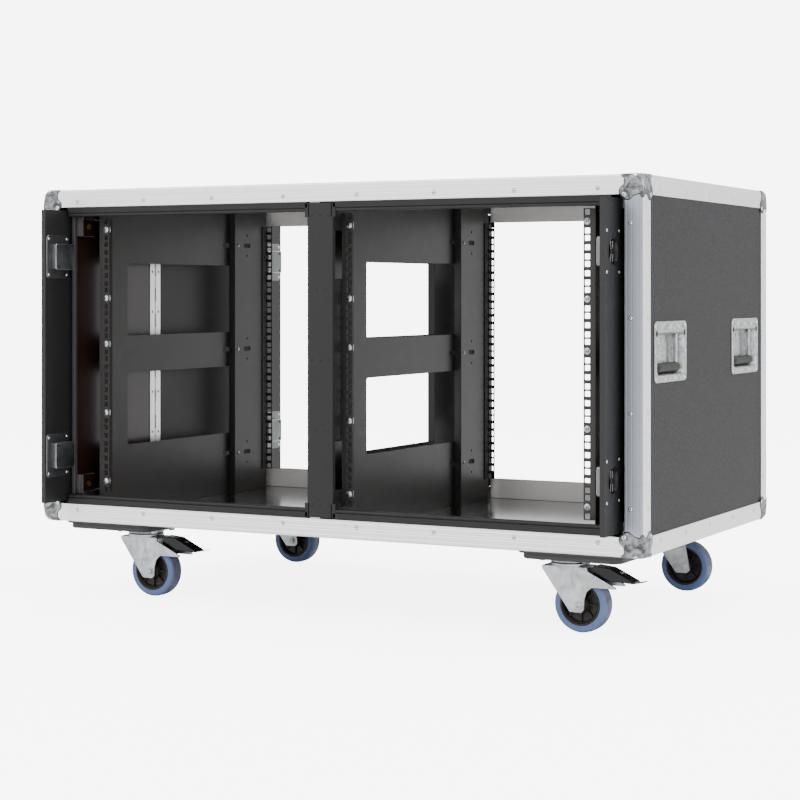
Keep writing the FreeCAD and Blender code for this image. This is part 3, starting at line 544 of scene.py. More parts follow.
def lay(origin, u, v, w):
    """A place whose own three directions are u, v and w."""
    return Matrix(((u[0], v[0], w[0], origin[0]), (u[1], v[1], w[1], origin[1]),
                   (u[2], v[2], w[2], origin[2]), (0, 0, 0, 1)))


def facing(origin, direction):
    """A place whose third direction is the given one."""
    return Matrix.Translation(origin) @ direction.to_track_quat("Z", "Y").to_matrix().to_4x4()


def flip(x=1, y=1, z=1):
    """Mirrors about the middle of the case wherever a sign is negative."""
    return Matrix.Translation(CENTRE) @ Matrix.Diagonal((x, y, z, 1)) @ Matrix.Translation(-CENTRE)


def rounded(points, radius, steps=4, closed=True):
    """A line of points with an arc at each corner; radius is one number or one per point."""
    points = [Vector(p).to_3d() for p in points]
    count, made = len(points), []
    radii = [radius] * count if isinstance(radius, (int, float)) else radius
    for index, corner in enumerate(points):
        back = points[index - 1] - corner
        ahead = points[(index + 1) % count] - corner
        ends = not closed and index in (0, count - 1)
        if ends or radii[index] <= 0 or back.length < 1e-6 or ahead.length < 1e-6:
            made.append(corner)
            continue
        half = back.angle(ahead) / 2
        if half > math.radians(89.5):
            made.append(corner)
            continue
        reach = min(radii[index] / math.tan(half), back.length * 0.49, ahead.length * 0.49)
        start, end = corner + back.normalized() * reach, corner + ahead.normalized() * reach
        middle = (back.normalized() + ahead.normalized()).normalized()
        centre = corner + middle * (reach / math.cos(half))
        for step in range(steps + 1):
            way = (start - centre).slerp(end - centre, step / steps).normalized()
            made.append(centre + way * (start - centre).length)
    return made


def rectangle(low, high):
    """The four corners between two opposite ones."""
    return [Vector((low[0], low[1], 0)), Vector((high[0], low[1], 0)),
            Vector((high[0], high[1], 0)), Vector((low[0], high[1], 0))]


def circle(radius, centre=(0, 0), count=24, height=0.0):
    return [Vector((centre[0] + radius * math.cos(math.tau * i / count),
                    centre[1] + radius * math.sin(math.tau * i / count), height))
            for i in range(count)]


def turning(points, left):
    """The loop in the order that keeps its inside on the left, or on the right."""
    area = sum(a.x * b.y - b.x * a.y for a, b in zip(points, points[1:] + points[:1]))
    return points if (area > 0) == left else points[::-1]


def moved_in(points, distance):
    """Each point of a loop moved to its left by distance."""
    made = []
    for index, point in enumerate(points):
        before = (point - points[index - 1]).to_2d().normalized()
        after = (points[(index + 1) % len(points)] - point).to_2d().normalized()
        left = Vector((-before.y - after.y, before.x + after.x, 0))
        share = max(left.length_squared / 2, 0.3)
        made.append(point + left * (distance / share))
    return made


def fill(loops):
    """Triangles between an outline and its holes, as numbers into all their points in order."""
    if len(loops) == 1:
        return [tuple(range(len(loops[0])))]
    flat = np.array([p[:2] for loop in loops for p in loop])
    edges, start = [], 0
    for loop in loops:
        edges += [(start + i, start + (i + 1) % len(loop)) for i in range(len(loop))]
        start += len(loop)
    made = delaunay_2d_cdt([Vector(p) for p in flat], edges, [], 1, 1e-6)
    triangles = np.array([[made[3][i][0] for i in face] for face in made[2]])
    middle = flat[triangles].mean(axis=1)[:, None, :]
    first, second = flat[[a for a, b in edges]][None], flat[[b for a, b in edges]][None]
    rise = np.where(second[..., 1] == first[..., 1], 1e-12, second[..., 1] - first[..., 1])
    beside = (first[..., 0]
              + (middle[..., 1] - first[..., 1]) / rise * (second[..., 0] - first[..., 0]))
    spans = (first[..., 1] > middle[..., 1]) != (second[..., 1] > middle[..., 1])
    inside = (spans & (beside > middle[..., 0])).sum(axis=1) % 2 == 1
    return [tuple(int(i) for i in face) for face in triangles[inside]]


def plate(outline, thick, holes=(), bevel=0.4):
    """A flat piece of an outline with holes, from height 0 to thick, with its edges broken."""
    loops = [turning(list(outline), True)] + [turning(list(hole), False) for hole in holes]
    bevel = min(bevel, thick * 0.45)
    levels = ((0, 0), (thick, 0))
    if bevel:
        levels = ((0, bevel), (bevel, 0), (thick - bevel, 0), (thick, bevel))
    layers = [[[p + Z * height for p in (moved_in(loop, inset) if inset else loop)]
               for loop in loops]
              for height, inset in levels]
    points = [p for layer in layers for loop in layer for p in loop]
    size = sum(len(loop) for loop in loops)
    faces = []
    for level in range(len(layers) - 1):
        start = level * size
        for loop in loops:
            count = len(loop)
            for i in range(count):
                j = (i + 1) % count
                faces.append((start + i, start + j, start + size + j, start + size + i))
            start += count
    for level in (0, len(layers) - 1):
        base = level * size
        faces += [tuple(base + i for i in face) for face in fill(layers[level])]
    return points, faces


def brick(low, high, bevel=0.5):
    """A block with every edge broken."""
    outline = rounded(rectangle(low, high), bevel * 1.5, 3)
    points, faces = plate(outline, high[2] - low[2], (), bevel)
    return [p + Z * low[2] for p in points], faces


def loft(rings, open_ends=False):
    """A skin over rings of equal counts."""
    count = len(rings[0])
    points = [Vector(p) for ring in rings for p in ring]
    faces = []
    for level in range(len(rings) - 1):
        start = level * count
        for i in range(count):
            j = (i + 1) % count
            faces.append((start + i, start + j, start + count + j, start + count + i))
    if not open_ends:
        faces += [tuple(range(count)), tuple(range(len(points) - count, len(points)))]
    return points, faces


def lathe(profile, count=24, closed=False):
    """A turned shape from radii and heights; closed joins the end of the profile to its start."""
    rings = [circle(max(radius, 1e-4), (0, 0), count, height) for radius, height in profile]
    return loft(rings + rings[:1] if closed else rings, closed)


def tube(path, radius, count=14):
    """A round bar along a line of points."""
    path = [Vector(p) for p in path]
    heading = (path[1] - path[0]).normalized()
    side = heading.orthogonal().normalized()
    rings = []
    for index, point in enumerate(path):
        after = path[min(index + 1, len(path) - 1)] - path[max(index - 1, 0)]
        turn = heading.rotation_difference(after.normalized())
        side, heading = turn @ side, after.normalized()
        up = heading.cross(side)
        rings.append([point + side * (radius * math.cos(a)) + up * (radius * math.sin(a))
                      for a in (math.tau * i / count for i in range(count))])
    return loft(rings)


class Piece:
    """Gathers shapes in millimetres and turns them into one object."""

    def __init__(self, name):
        self.name, self.used, self.bm = name, [], bmesh.new()

    def number(self, material):
        if material not in self.used:
            self.used.append(material)
        return self.used.index(material)

    def add(self, shape, material, place=None, edge=None, crease=SMOOTH_UP_TO):
        """Adds a shape; edge names another finish for its walls, its faces of four corners.

        Edges that turn by more than crease degrees stay sharp.
        """
        index = self.number(material)
        wall = self.number(edge) if edge else index
        points, faces = shape
        place = place or Matrix.Identity(4)
        part = bmesh.new()
        verts = [part.verts.new(place @ p) for p in points]
        for face in faces:
            made = part.faces.new([verts[i] for i in face])
            made.material_index = wall if len(face) == 4 else index
            made.smooth = True
        bmesh.ops.delete(part, geom=[v for v in part.verts if not v.link_faces], context="VERTS")
        bmesh.ops.remove_doubles(part, verts=part.verts, dist=0.002)
        bmesh.ops.recalc_face_normals(part, faces=part.faces)
        for seam in part.edges:
            shallow = seam.calc_face_angle(0) < math.radians(crease)
            seam.smooth = len(seam.link_faces) != 2 or shallow
        scratch = bpy.data.meshes.new("scratch")
        part.to_mesh(scratch)
        part.free()
        self.bm.from_mesh(scratch)
        bpy.data.meshes.remove(scratch)

    def put(self, body, slot, *nodes):
        """Makes the object, ties it to its body and lets it stand for the frame nodes."""
        if not self.bm.faces:
            raise RuntimeError(f"{self.name} has no faces")
        bmesh.ops.scale(self.bm, vec=(MM, MM, MM), verts=self.bm.verts)
        mesh = bpy.data.meshes.new(self.name)
        self.bm.to_mesh(mesh)
        self.bm.free()
        for name in self.used:
            mesh.materials.append(finish(name))
        made = bpy.data.objects.new(self.name, mesh)
        bpy.context.scene.collection.objects.link(made)
        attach(made, body)
        if nodes:
            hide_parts(*nodes)
        return made


def recoat(node, material):
    """Gives a frame node a finish and leaves its shape alone."""
    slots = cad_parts[node].material_slots
    if not len(slots):
        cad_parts[node].data.materials.append(None)
    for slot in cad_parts[node].material_slots:
        slot.material = finish(material)


def rivet(piece, place, radius=4.0, high=1.3):
    """A domed rivet head; the dark disc in its middle and the dark ring round its foot are painted
    shade.
    """
    ring = [(0.36, 0.2), (0.36, 0.86), (0.44, 1.0), (0.6, 0.95), (0.74, 0.66), (0.82, 0.25),
            (0.84, 0.0)]
    piece.add(lathe([(r * radius, h * high) for r, h in ring], 18), "rivet_zinc", place)
    piece.add(lathe([(0, 0.24 * high), (0.37 * radius, 0.24 * high), (0.37 * radius, 0.1)], 18),
              "painted_shade_hole", place)
    # Painted shadow: a dark ring round the foot of the head.
    piece.add(lathe([(0.82 * radius, 0.12 * high), (radius, 0.08 * high), (radius, 0)], 18),
              "painted_shade_hole", place)


def screw(piece, place, radius, high, material="bright_zinc"):
    """A pan head; its cross recess is drawn as two dark bars, painted shade."""
    piece.add(lathe([(radius, 0), (radius, high * 0.4), (radius * 0.8, high * 0.8),
                     (radius * 0.45, high), (0, high)], 18), material, place)
    # Painted shade: the cross recess as dark bars on the head.
    for u, v in ((0.5, 0.14), (0.14, 0.5)):
        piece.add(brick((-radius * u, -radius * v, high * 0.9),
                        (radius * u, radius * v, high + 0.06), 0.03),
                  "painted_shade_hole", place)


def hex_bolt(piece, place, across, high, washer=0.0):
    """A six-sided bolt head on a washer."""
    if washer:
        piece.add(lathe([(0, 0), (washer, 0), (washer, 0.8), (washer - 0.4, 1.2), (0, 1.2)], 28),
                  "bright_zinc", place)
    up = place @ Matrix.Translation((0, 0, 1.2 if washer else 0))
    high -= 1.2 if washer else 0
    rings = [circle(across / 2, (0, 0), 6, h) for h in (0, high * 0.82)]
    piece.add(loft(rings + [circle(across / 2 - 0.6, (0, 0), 6, high)]), "bright_zinc", up)
    piece.add(lathe([(across * 0.36, high - 0.05), (across * 0.3, high + 0.04), (0, high + 0.04)],
                    20),
              "mottled_zinc", up)


def make_panels(sizes):
    """Coats of the boards and of the door panels."""
    for node in ("top_panel", "bottom_panel", "left_side_panel", "right_side_panel"):
        recoat(node, "laminate_finish")
    for door in DOORS:
        recoat(f"{door}_door_panel", "door_finish")


def angle_section(sizes, face, thick):
    """An L section from its outer arris, with long grooves in both legs."""
    arris, deep = sizes.arris_round / MM, sizes.groove_depth / MM
    half_width = sizes.groove_width / MM
    half = [(face, thick), (face, 0.5), (face - 0.5, 0)]
    for groove in (face - 4.5, face - 13.5, face - 18, face - 26.5):
        half += [(groove + half_width, 0), (groove + half_width * 0.4, deep),
                 (groove - half_width * 0.4, deep), (groove - half_width, 0)]
    for step in range(6):
        turn = math.radians(9 * step)
        half.append((arris * (1 - math.sin(turn)), arris * (1 - math.cos(turn))))
    other = [(b, a) for a, b in half[:-1]][::-1]
    return [Vector((a, b, 0)) for a, b in half + other + [(thick, thick)]]


def make_edges(sizes):
    """Grooved aluminium angles along the twelve edges."""
    face = DEPTH_LOW.y - CASE_LOW.y
    section = angle_section(sizes, face, 2.0)
    for along, (node, material) in enumerate((("long_edge_profiles", "along_x"),
                                              ("depth_edge_profiles", "along_y"),
                                              ("upright_edge_profiles", "along_z"))):
        low, high = span(node)
        first, second = (axis for axis in range(3) if axis != along)
        piece = Piece(node.replace("profiles", "sections"))
        for end_a in (-1, 1):
            for end_b in (-1, 1):
                start, u, v, w = Vector(), Vector(), Vector(), Vector()
                start[along], w[along] = low[along], 1
                start[first], u[first] = (CASE_LOW if end_a < 0 else CASE_HIGH)[first], -end_a
                start[second], v[second] = (CASE_LOW if end_b < 0 else CASE_HIGH)[second], -end_b
                piece.add(plate(section, high[along] - low[along], (), 0), material,
                          lay(start, u, v, w),
                          crease=12)
        piece.put("case", "edge_aluminium", node)


CORNER_REACH = ((0, 42), (6, 42), (14, 37.5), (24, 41), (31, 53), (36, 57), (54, 57), (59, 53),
                (65, 40),
                (76, 37.5), (84, 41), (90, 42))


def corner_reach(degrees):
    """How far a ball corner reaches along a flat at an angle from one edge."""
    for (a, low), (b, high) in zip(CORNER_REACH, CORNER_REACH[1:]):
        if degrees <= b:
            share = (degrees - a) / (b - a)
            return low + (high - low) * (3 - 2 * share) * share * share
    return CORNER_REACH[-1][1]


def corner_shape(sizes):
    """A pressed corner over three faces, its tip at the origin and the case on its positive side.

    Gives its points, the faces of its skin and the faces of its rim.
    """
    tip, arris, sheet = sizes.tip_round / MM, sizes.arris_round / MM + 0.5, sizes.corner_sheet / MM
    turns, steps = 36, 14
    points, faces, rim = [], [], []
    for flat in range(3):
        a, b = (flat + 1) % 3, (flat + 2) % 3
        base = len(points)
        for i in range(turns + 1):
            degrees = 45 - 45 * math.cos(math.pi * i / turns)
            reach = corner_reach(degrees)
            for j in range(steps + 1):
                share = 1 - (1 - j / steps) ** 1.15
                q = Vector()
                q[a] = reach * share * math.cos(math.radians(degrees))
                q[b] = reach * share * math.sin(math.radians(degrees))
                near = max(0.0, 1 - q.length / 34)
                near *= near * (3 - 2 * near)
                ball = arris + (tip - arris) * near
                hub = Vector(max(value, ball) for value in q)
                out = (q - hub).normalized()
                crown = 0.75 * (1 - near) + (0.0 if j < steps else 0.5)
                points.append(hub + out * (ball - crown))
                points.append(hub + out * max(ball - sheet, 0.1))
        row = 2 * (steps + 1)
        for i in range(turns):
            for j in range(steps):
                p = base + i * row + 2 * j
                (rim if j == steps - 1 else faces).append((p, p + 2, p + 2 + row, p + row))
                faces.append((p + 1, p + 3, p + 3 + row, p + 1 + row))
            p = base + i * row + 2 * steps
            rim.append((p, p + 1, p + 1 + row, p + row))
    return points, faces, rim


def make_corners(sizes):
    """Ball corners with a rivet in each of their flats."""
    low, high = span("ball_corners")
    points, skin, rim = corner_shape(sizes)
    piece = Piece("ball_corner_caps")
    for x in (1, -1):
        for y in (1, -1):
            for z in (1, -1):
                tip = Vector((low.x if x > 0 else high.x, low.y if y > 0 else high.y,
                              low.z if z > 0 else high.z))
                inward = [X * x, Y * y, Z * z]
                piece.add((points, skin), "corner_zinc", lay(tip, *inward))
                # The rim faces take the near-black finish: partly dirt, partly painted shadow along
                # the corner's edge.
                piece.add((points, rim), "corner_rim_dirt_and_shadow", lay(tip, *inward))
                for flat in range(3):
                    across = inward[(flat + 1) % 3] + inward[(flat + 2) % 3]
                    spot = tip + CORNER_RIVET * across + inward[flat] * 0.9
                    rivet(piece, facing(spot, -inward[flat]), 4.4, 0.9)
    piece.put("case", "zinc_steel", "ball_corners")


def make_rivets(sizes):
    """Rivet heads along the edges."""
    piece = Piece("edge_rivet_heads")
    for low, high in islands("edge_rivets"):
        size, middle = high - low, (low + high) / 2
        axis = min(range(3), key=lambda i: size[i])
        out = Vector()
        out[axis] = 1 if middle[axis] > CENTRE[axis] else -1
        seat = middle - out * size[axis] / 2
        rivet(piece, facing(seat, out))
    piece.put("case", "zinc_steel", "edge_rivets")


def make_frames(sizes):
    """Lipped bars above and below the bays, and the upright lips at the pocket mouths."""
    face = DEPTH_LOW.y - CASE_LOW.y
    for name, y in (("front", 1), ("rear", -1)):
        low, high = span(f"{name}_door_frame")
        post = span("centre_posts")[1].x
        edge, top = CASE_HIGH.z - face, high.z
        section = rounded([(0, 0), (0, edge - 11 - top), (2.2, edge - 11.6 - top),
                           (2.2, edge - 12.4 - top),
                           (0.6, edge - 12.8 - top), (0.6, edge - 18 - top), (12, edge - 18 - top),
                           (12, 0)], [0, 0.4, 0.3, 0.3, 2.2, 2.6, 1, 0], 4)
        piece = Piece(f"{name}_frame_bars")
        front = low.y if y > 0 else high.y
        for x in (1, -1):
            for z in (1, -1):
                start = Vector((x * post, front, top if z > 0 else 2 * CENTRE.z - top))
                bar = lay(start, Y * y, Z * z, X * x)
                piece.add(plate(section, high.x - post, (), 0), "powder_coat", bar)
                # Painted reflection: a near-white strip on the inner face of each bar.
                piece.add(brick((11.8, edge - 17.4 - top, 1), (12.3, -0.6, high.x - post - 1), 0.1),
                          "bar_painted_reflection", bar)
            back = high.y if y > 0 else low.y
            u = sorted((x * (high.x - 8), x * high.x))
            v = sorted((back, back - y * 4))
            outline = rounded(rectangle((u[0], v[0]), (u[1], v[1])), 1.4, 4)
            piece.add(plate(outline, high.z - low.z, (), 0), "lip_coat",
                      Matrix.Translation((0, 0, low.z)))
        piece.put("case", "black_aluminium", f"{name}_door_frame")


def make_posts(sizes):
    """Folded posts; their sides are cut back where the latch hooks reach in."""
    low, high = span("centre_posts")
    deep, sheet, wide = 34.0, 2.0, high.x
    bend = sizes.bend_round / MM
    latch = [sum(c) / 2 for c in ((span(f"front_right_{level}_latch_wing")[0].z,
                                   span(f"front_right_{level}_latch_wing")[1].z)
                                  for level in ("lower", "upper"))]
    cuts = [low.z] + [z + side for z in latch for side in (-44, 44)] + [high.z]
    piece = Piece("centre_post_channels")
    for y, front in ((1, low.y), (-1, high.y)):
        for index, (bottom, top) in enumerate(zip(cuts, cuts[1:])):
            flange = 8.5 if index % 2 else deep
            outer = [(-wide, flange), (-wide, 0), (wide, 0), (wide, flange)]
            inner = [(wide - sheet, flange), (wide - sheet, sheet), (-wide + sheet, sheet),
                     (-wide + sheet, flange)]
            section = rounded(outer + inner, [0.5, bend, bend, 0.5, 0.5, 0.6, 0.6, 0.5], 5)
            piece.add(plate(section, top - bottom, (), 0), "powder_coat",
                      lay((0, front, bottom), X, Y * y, Z))
        for x in (1, -1):
            for z in (1, -1):
                foot = flip(1, 1, z)
                piece.add(brick((x * wide - 5, 0, low.z), (x * wide + 5, 1.6, low.z + 26), 0.7),
                          "powder_coat", foot @ lay((0, front, 0), X, Y * y, Z))
    piece.put("case", "black_steel", "centre_posts")


def hole_heights(node):
    """Heights of the square holes, from the length of the rails."""
    low, high = span(node)
    count = round((high.z - low.z) / RACK_UNIT)
    return [low.z + RACK_UNIT * step + offset for step in range(count) for offset in UNIT_HOLES]


def make_rails(sizes):
    """Square-holed rails with a second row of round holes in their sides."""
    for name, y in (("front", 1), ("rear", -1)):
        node = f"{name}_rack_rails"
        heights = hole_heights(node)
        lap = 14.0 if name == "front" else 8.0
        piece = Piece(f"{name}_rail_strips")
        for low, high in islands(node):
            middle = (low + high) / 2
            side = 1 if middle.x > 0 else -1
            bay = side * BAY_X
            hand = 1 if middle.x > bay else -1
            corner = high.x if hand > 0 else low.x
            front = low.y if y > 0 else high.y
            wide, deep = high.x - low.x, high.y - low.y
            tall = high.z - low.z
            half = SQUARE_HOLE / 2
            holes = [rounded(rectangle((lap - half, h - low.z - half),
                                       (lap + half, h - low.z + half)), 0.7, 2)
                     for h in heights]
            outline = rounded(rectangle((0, 0), (wide, tall)), [2, 1.5, 1.5, 2], 3)
            piece.add(plate(outline, 2.0, holes, 0.3), "dark_sheet",
                      lay((corner, front, low.z), X * -hand, Z, Y * y))
            bores = [circle(2.2, (deep * 0.62, h - low.z), 12) for h in heights[1::3]]
            outline = rounded(rectangle((1.2, 0), (deep, tall)), 1.5, 3)
            piece.add(plate(outline, 2.0, bores, 0.3), "dark_sheet",
                      lay((corner, front, low.z), Y * y, Z, X * -hand))
            # Painted shade: a near-black sheet on the inner face of each side flange, inside the
            # rail.
            lining = plate(rectangle((2.2, 0.5), (deep - 0.5, tall - 0.5)), 0.12, bores, 0)
            piece.add(lining, "painted_shade_hole", lay((corner - hand * 2, front, low.z), Y * y, Z,
                                               X * -hand))
        piece.put("case", "black_steel", node)


def bay_middle():
    """Distance from the case's middle to the middle of a bay."""
    high = span("front_rack_rails")[1]
    near = min(abs(v) for box in islands("front_rack_rails") for v in (box[0].x, box[1].x))
    return (high.x + near) / 2


BAY_X = bay_middle()


def slot_outline(centre, long, wide):
    """A long hole with round ends."""
    low = (centre[0] - long / 2, centre[1] - wide / 2)
    high = (centre[0] + long / 2, centre[1] + wide / 2)
    return rounded(rectangle(low, high), wide * 0.46, 5)


def make_plates(sizes):
    """Side sheets between the rails: two windows in the front ones, slots in the rear ones."""
    slot_long, slot_wide = sizes.slot_length / MM, sizes.slot_width / MM
    corner = sizes.window_round / MM
    front_low, front_high = span("front_side_plates")
    rear_low, rear_high = span("rear_side_plates")
    tall, deep = front_high.z - front_low.z, front_high.y - front_low.y
    mid = CENTRE.z - front_low.z
    start = 92.0
    levels = (mid - 224, mid, mid + 224)
    outline, radii = [(0, 0), (deep, 0)], [1, 1]
    for level, edge in ((levels[0], mid - 180), (levels[1], mid + 37), (levels[2], None)):
        outline += [(deep, level - slot_wide / 2), (deep - slot_long, level - slot_wide / 2),
                    (deep - slot_long, level + slot_wide / 2), (deep, level + slot_wide / 2)]
        radii += [1, slot_wide * 0.45, slot_wide * 0.45, 1]
        if edge is not None:
            outline += [(deep, edge), (start, edge), (start, edge + 143), (deep, edge + 143)]
            radii += [1, corner, corner, 1]
    outline += [(deep, tall), (0, tall)]
    radii += [1, 1]
    shape = plate(rounded(outline, radii, 5), 1.5, (), 0.3)
    piece = Piece("front_side_sheets")
    for low, high in islands("front_side_plates"):
        piece.add(shape, "dark_sheet", lay((low.x, low.y, low.z), Y, Z, X))
    piece.put("case", "black_steel", "front_side_plates")

    deep = rear_high.y - rear_low.y
    holes = []
    for level in levels:
        holes.append(slot_outline((49, level), slot_long, slot_wide))
        holes += [circle(2.4, (49, level + side * 22), 12) for side in (-1, 1)]
    web = plate(rounded(rectangle((1, 0), (deep, tall)), 1.5, 3), 1.5, holes, 0.3)
    piece = Piece("rear_side_brackets")
    # Painted shade: near-black patches behind the slots and round holes, seen through them.
    backs = [plate(slot_outline((49, level), slot_long + 3, slot_wide + 3), 0.2, (), 0)
             for level in levels]
    backs += [plate(circle(3.4, (49, level + side * 22), 12), 0.2, (), 0) for level in levels
              for side in (-1, 1)]
    for low, high in islands("rear_side_plates"):
        bay = math.copysign(BAY_X, (low.x + high.x) / 2)
        hand = 1 if (low.x + high.x) / 2 > bay else -1
        inner = low.x if hand > 0 else high.x
        piece.add(web, "dark_sheet", lay((inner, low.y, low.z), Y, Z, X * hand))
        for back in backs:
            piece.add(back, "painted_shade_hole", lay((inner + hand * 1.6, low.y, low.z), Y, Z, X * hand))
        section = rounded([(0, 1.5), (0, 0), (high.x - low.x, 0), (high.x - low.x, 1.5)],
                          [0.3, 1.4, 0.4, 0.4], 4)
        piece.add(plate(section, tall, (), 0), "dark_sheet",
                  lay((inner, low.y, low.z), X * hand, Y, Z))
        for level in levels:
            spot = Vector((inner, low.y + 14, low.z + level))
            screw(piece, facing(spot, X * -hand), 3.4, 1.6)
            for side in (-1, 1):
                screw(piece, facing(spot + Vector((0, 100, side * 30)), X * -hand), 2.6, 1.2)
    piece.put("case", "black_steel", "rear_side_plates")


def make_screws(sizes):
    """Bolts and cage nuts in the front rails, and the small screws of the posts."""
    piece = Piece("rail_bolts_and_post_screws")
    for low, high in islands("frame_screws"):
        middle, size = (low + high) / 2, high - low
        if size.y > 2:
            seat = Vector((middle.x, low.y + 3, middle.z))
            bay = math.copysign(BAY_X, middle.x)
            hand = 1 if middle.x > bay else -1
            piece.add(lathe([(0, 0), (size.x / 2, 0), (size.x / 2, 0.6), (size.x / 2 - 0.5, 0.9),
                             (0, 0.9)], 24),
                      "bright_zinc", facing(seat, -Y))
            screw(piece, facing(seat - Y * 0.8, -Y), size.x * 0.36, 2.1)
            piece.add(brick((low.x, seat.y + 2, low.z), (high.x, high.y, high.z), 0.5),
                      "bright_zinc")
            piece.add(lathe([(size.x * 0.2, 0), (size.x * 0.2, 7), (0, 7)], 14), "bright_zinc",
                      facing(Vector((middle.x, high.y - 1, middle.z)), Y))
            beside = Vector((middle.x + hand * 11.5, seat.y + 12, middle.z))
            piece.add(brick(beside - Vector((1.2, 5.5, 5)), beside + Vector((0.6, 5.5, 5)), 0.5),
                      "bright_zinc")
        else:
            out = -Y if middle.y < CENTRE.y else Y
            seat = middle - out * size.y / 2
            screw(piece, facing(seat, out), size.x / 2, size.y, "powder_coat")
    piece.put("case", "zinc_steel", "frame_screws")


def make_slides(sizes):
    """Folded zinc channels above and below each pocket."""
    piece = Piece("pocket_slide_channels")
    for low, high in islands("pocket_slides"):
        wide, tall = high.x - low.x, high.z - low.z
        z = 1 if (low.z + high.z) / 2 > CENTRE.z else -1
        sheet = 1.5
        outer = [(0, -tall), (0, 0), (wide, 0), (wide, -tall)]
        inner = [(wide - sheet, -tall), (wide - sheet, -sheet), (sheet, -sheet), (sheet, -tall)]
        section = rounded(outer + inner, [0.4, 2.5, 2.5, 0.4, 0.4, 1, 1, 0.4], 4)
        top = high.z if z > 0 else low.z
        piece.add(plate(section, high.y - low.y, (), 0), "bright_zinc",
                  lay((low.x, low.y, top), X, Z * z, Y))
    piece.put("case", "zinc_steel", "pocket_slides")


def door_place(door):
    """A door's directions from its free edge (into the case, up, outwards) and its thickness."""
    low, high = span(f"{door}_door_panel")
    hand = 1 if "right" in door else -1
    into = 1 if "front" in door else -1
    outside = high.x if hand > 0 else low.x
    edge = low.y if into > 0 else high.y
    return lay((outside, edge, CENTRE.z), Y * into, Z, X * hand), high.x - low.x


def make_carriages(sizes):
    """Follower boards with their guide blocks and tongues."""
    for door in DOORS:
        place, thick = door_place(door)
        back = place.inverted()
        low, high = (back @ corner for corner in span(f"{door}_door_carriage"))
        near, far = sorted((low.x, high.x))
        top = max(low.y, high.y)
        panel_low, panel_high = span(f"{door}_door_panel")
        tall = (panel_high.z - panel_low.z) / 2
        piece = Piece(f"{door}_follower_board")
        outline = rounded(rectangle((near, -tall), (far, tall)), 1.5, 3)
        piece.add(plate(outline, thick, (), 0.6), "phenolic_film",
                  place @ Matrix.Translation((0, 0, -thick)))
        outer = "front" in door
        block_high = top - 12
        for at in (near + 20, far - 38):
            for z in (1, -1):
                level = Matrix.Diagonal((1, z, 1, 1))
                w0, w1 = (0.0, 15.0) if outer else (-thick - 15.0, -thick)
                mid = w0 + 8 if outer else w1 - 8
                piece.add(brick((at, block_high - 38, w0), (at + 38, block_high, w1), 0.8),
                          "phenolic_film", place @ level)
                piece.add(brick((at + 2, block_high - 0.5, mid - 3),
                                (at + 36, block_high + 12, mid + 3), 1.2),
                          "hub_nylon", place @ level)
                ends = ((at - 0.25, at + 0.6), (at + 37.4, at + 38.25))
                for e0, e1 in ends:
                    piece.add(brick((e0, block_high - 37.3, w0 + 0.7),
                                    (e1, block_high - 0.7, w1 - 0.7), 0.2),
                              "ply_edge", place @ level)
                face = w1 if outer else w0
                way = 1 if outer else -1
                spot = (at + 19, block_high - 19, face)
                head = place @ level @ lay(spot, X, Y, Z * way)
                piece.add(lathe([(0, -0.2), (6.2, -0.2), (6.2, 0.25), (5.0, 0.4), (4.4, 0.1),
                                 (0, 0.1)], 28),
                          "brass", head)
                screw(piece, head, 3.6, 0.45)
        piece.put(f"{door}_door", "phenolic_ply", f"{door}_door_carriage")


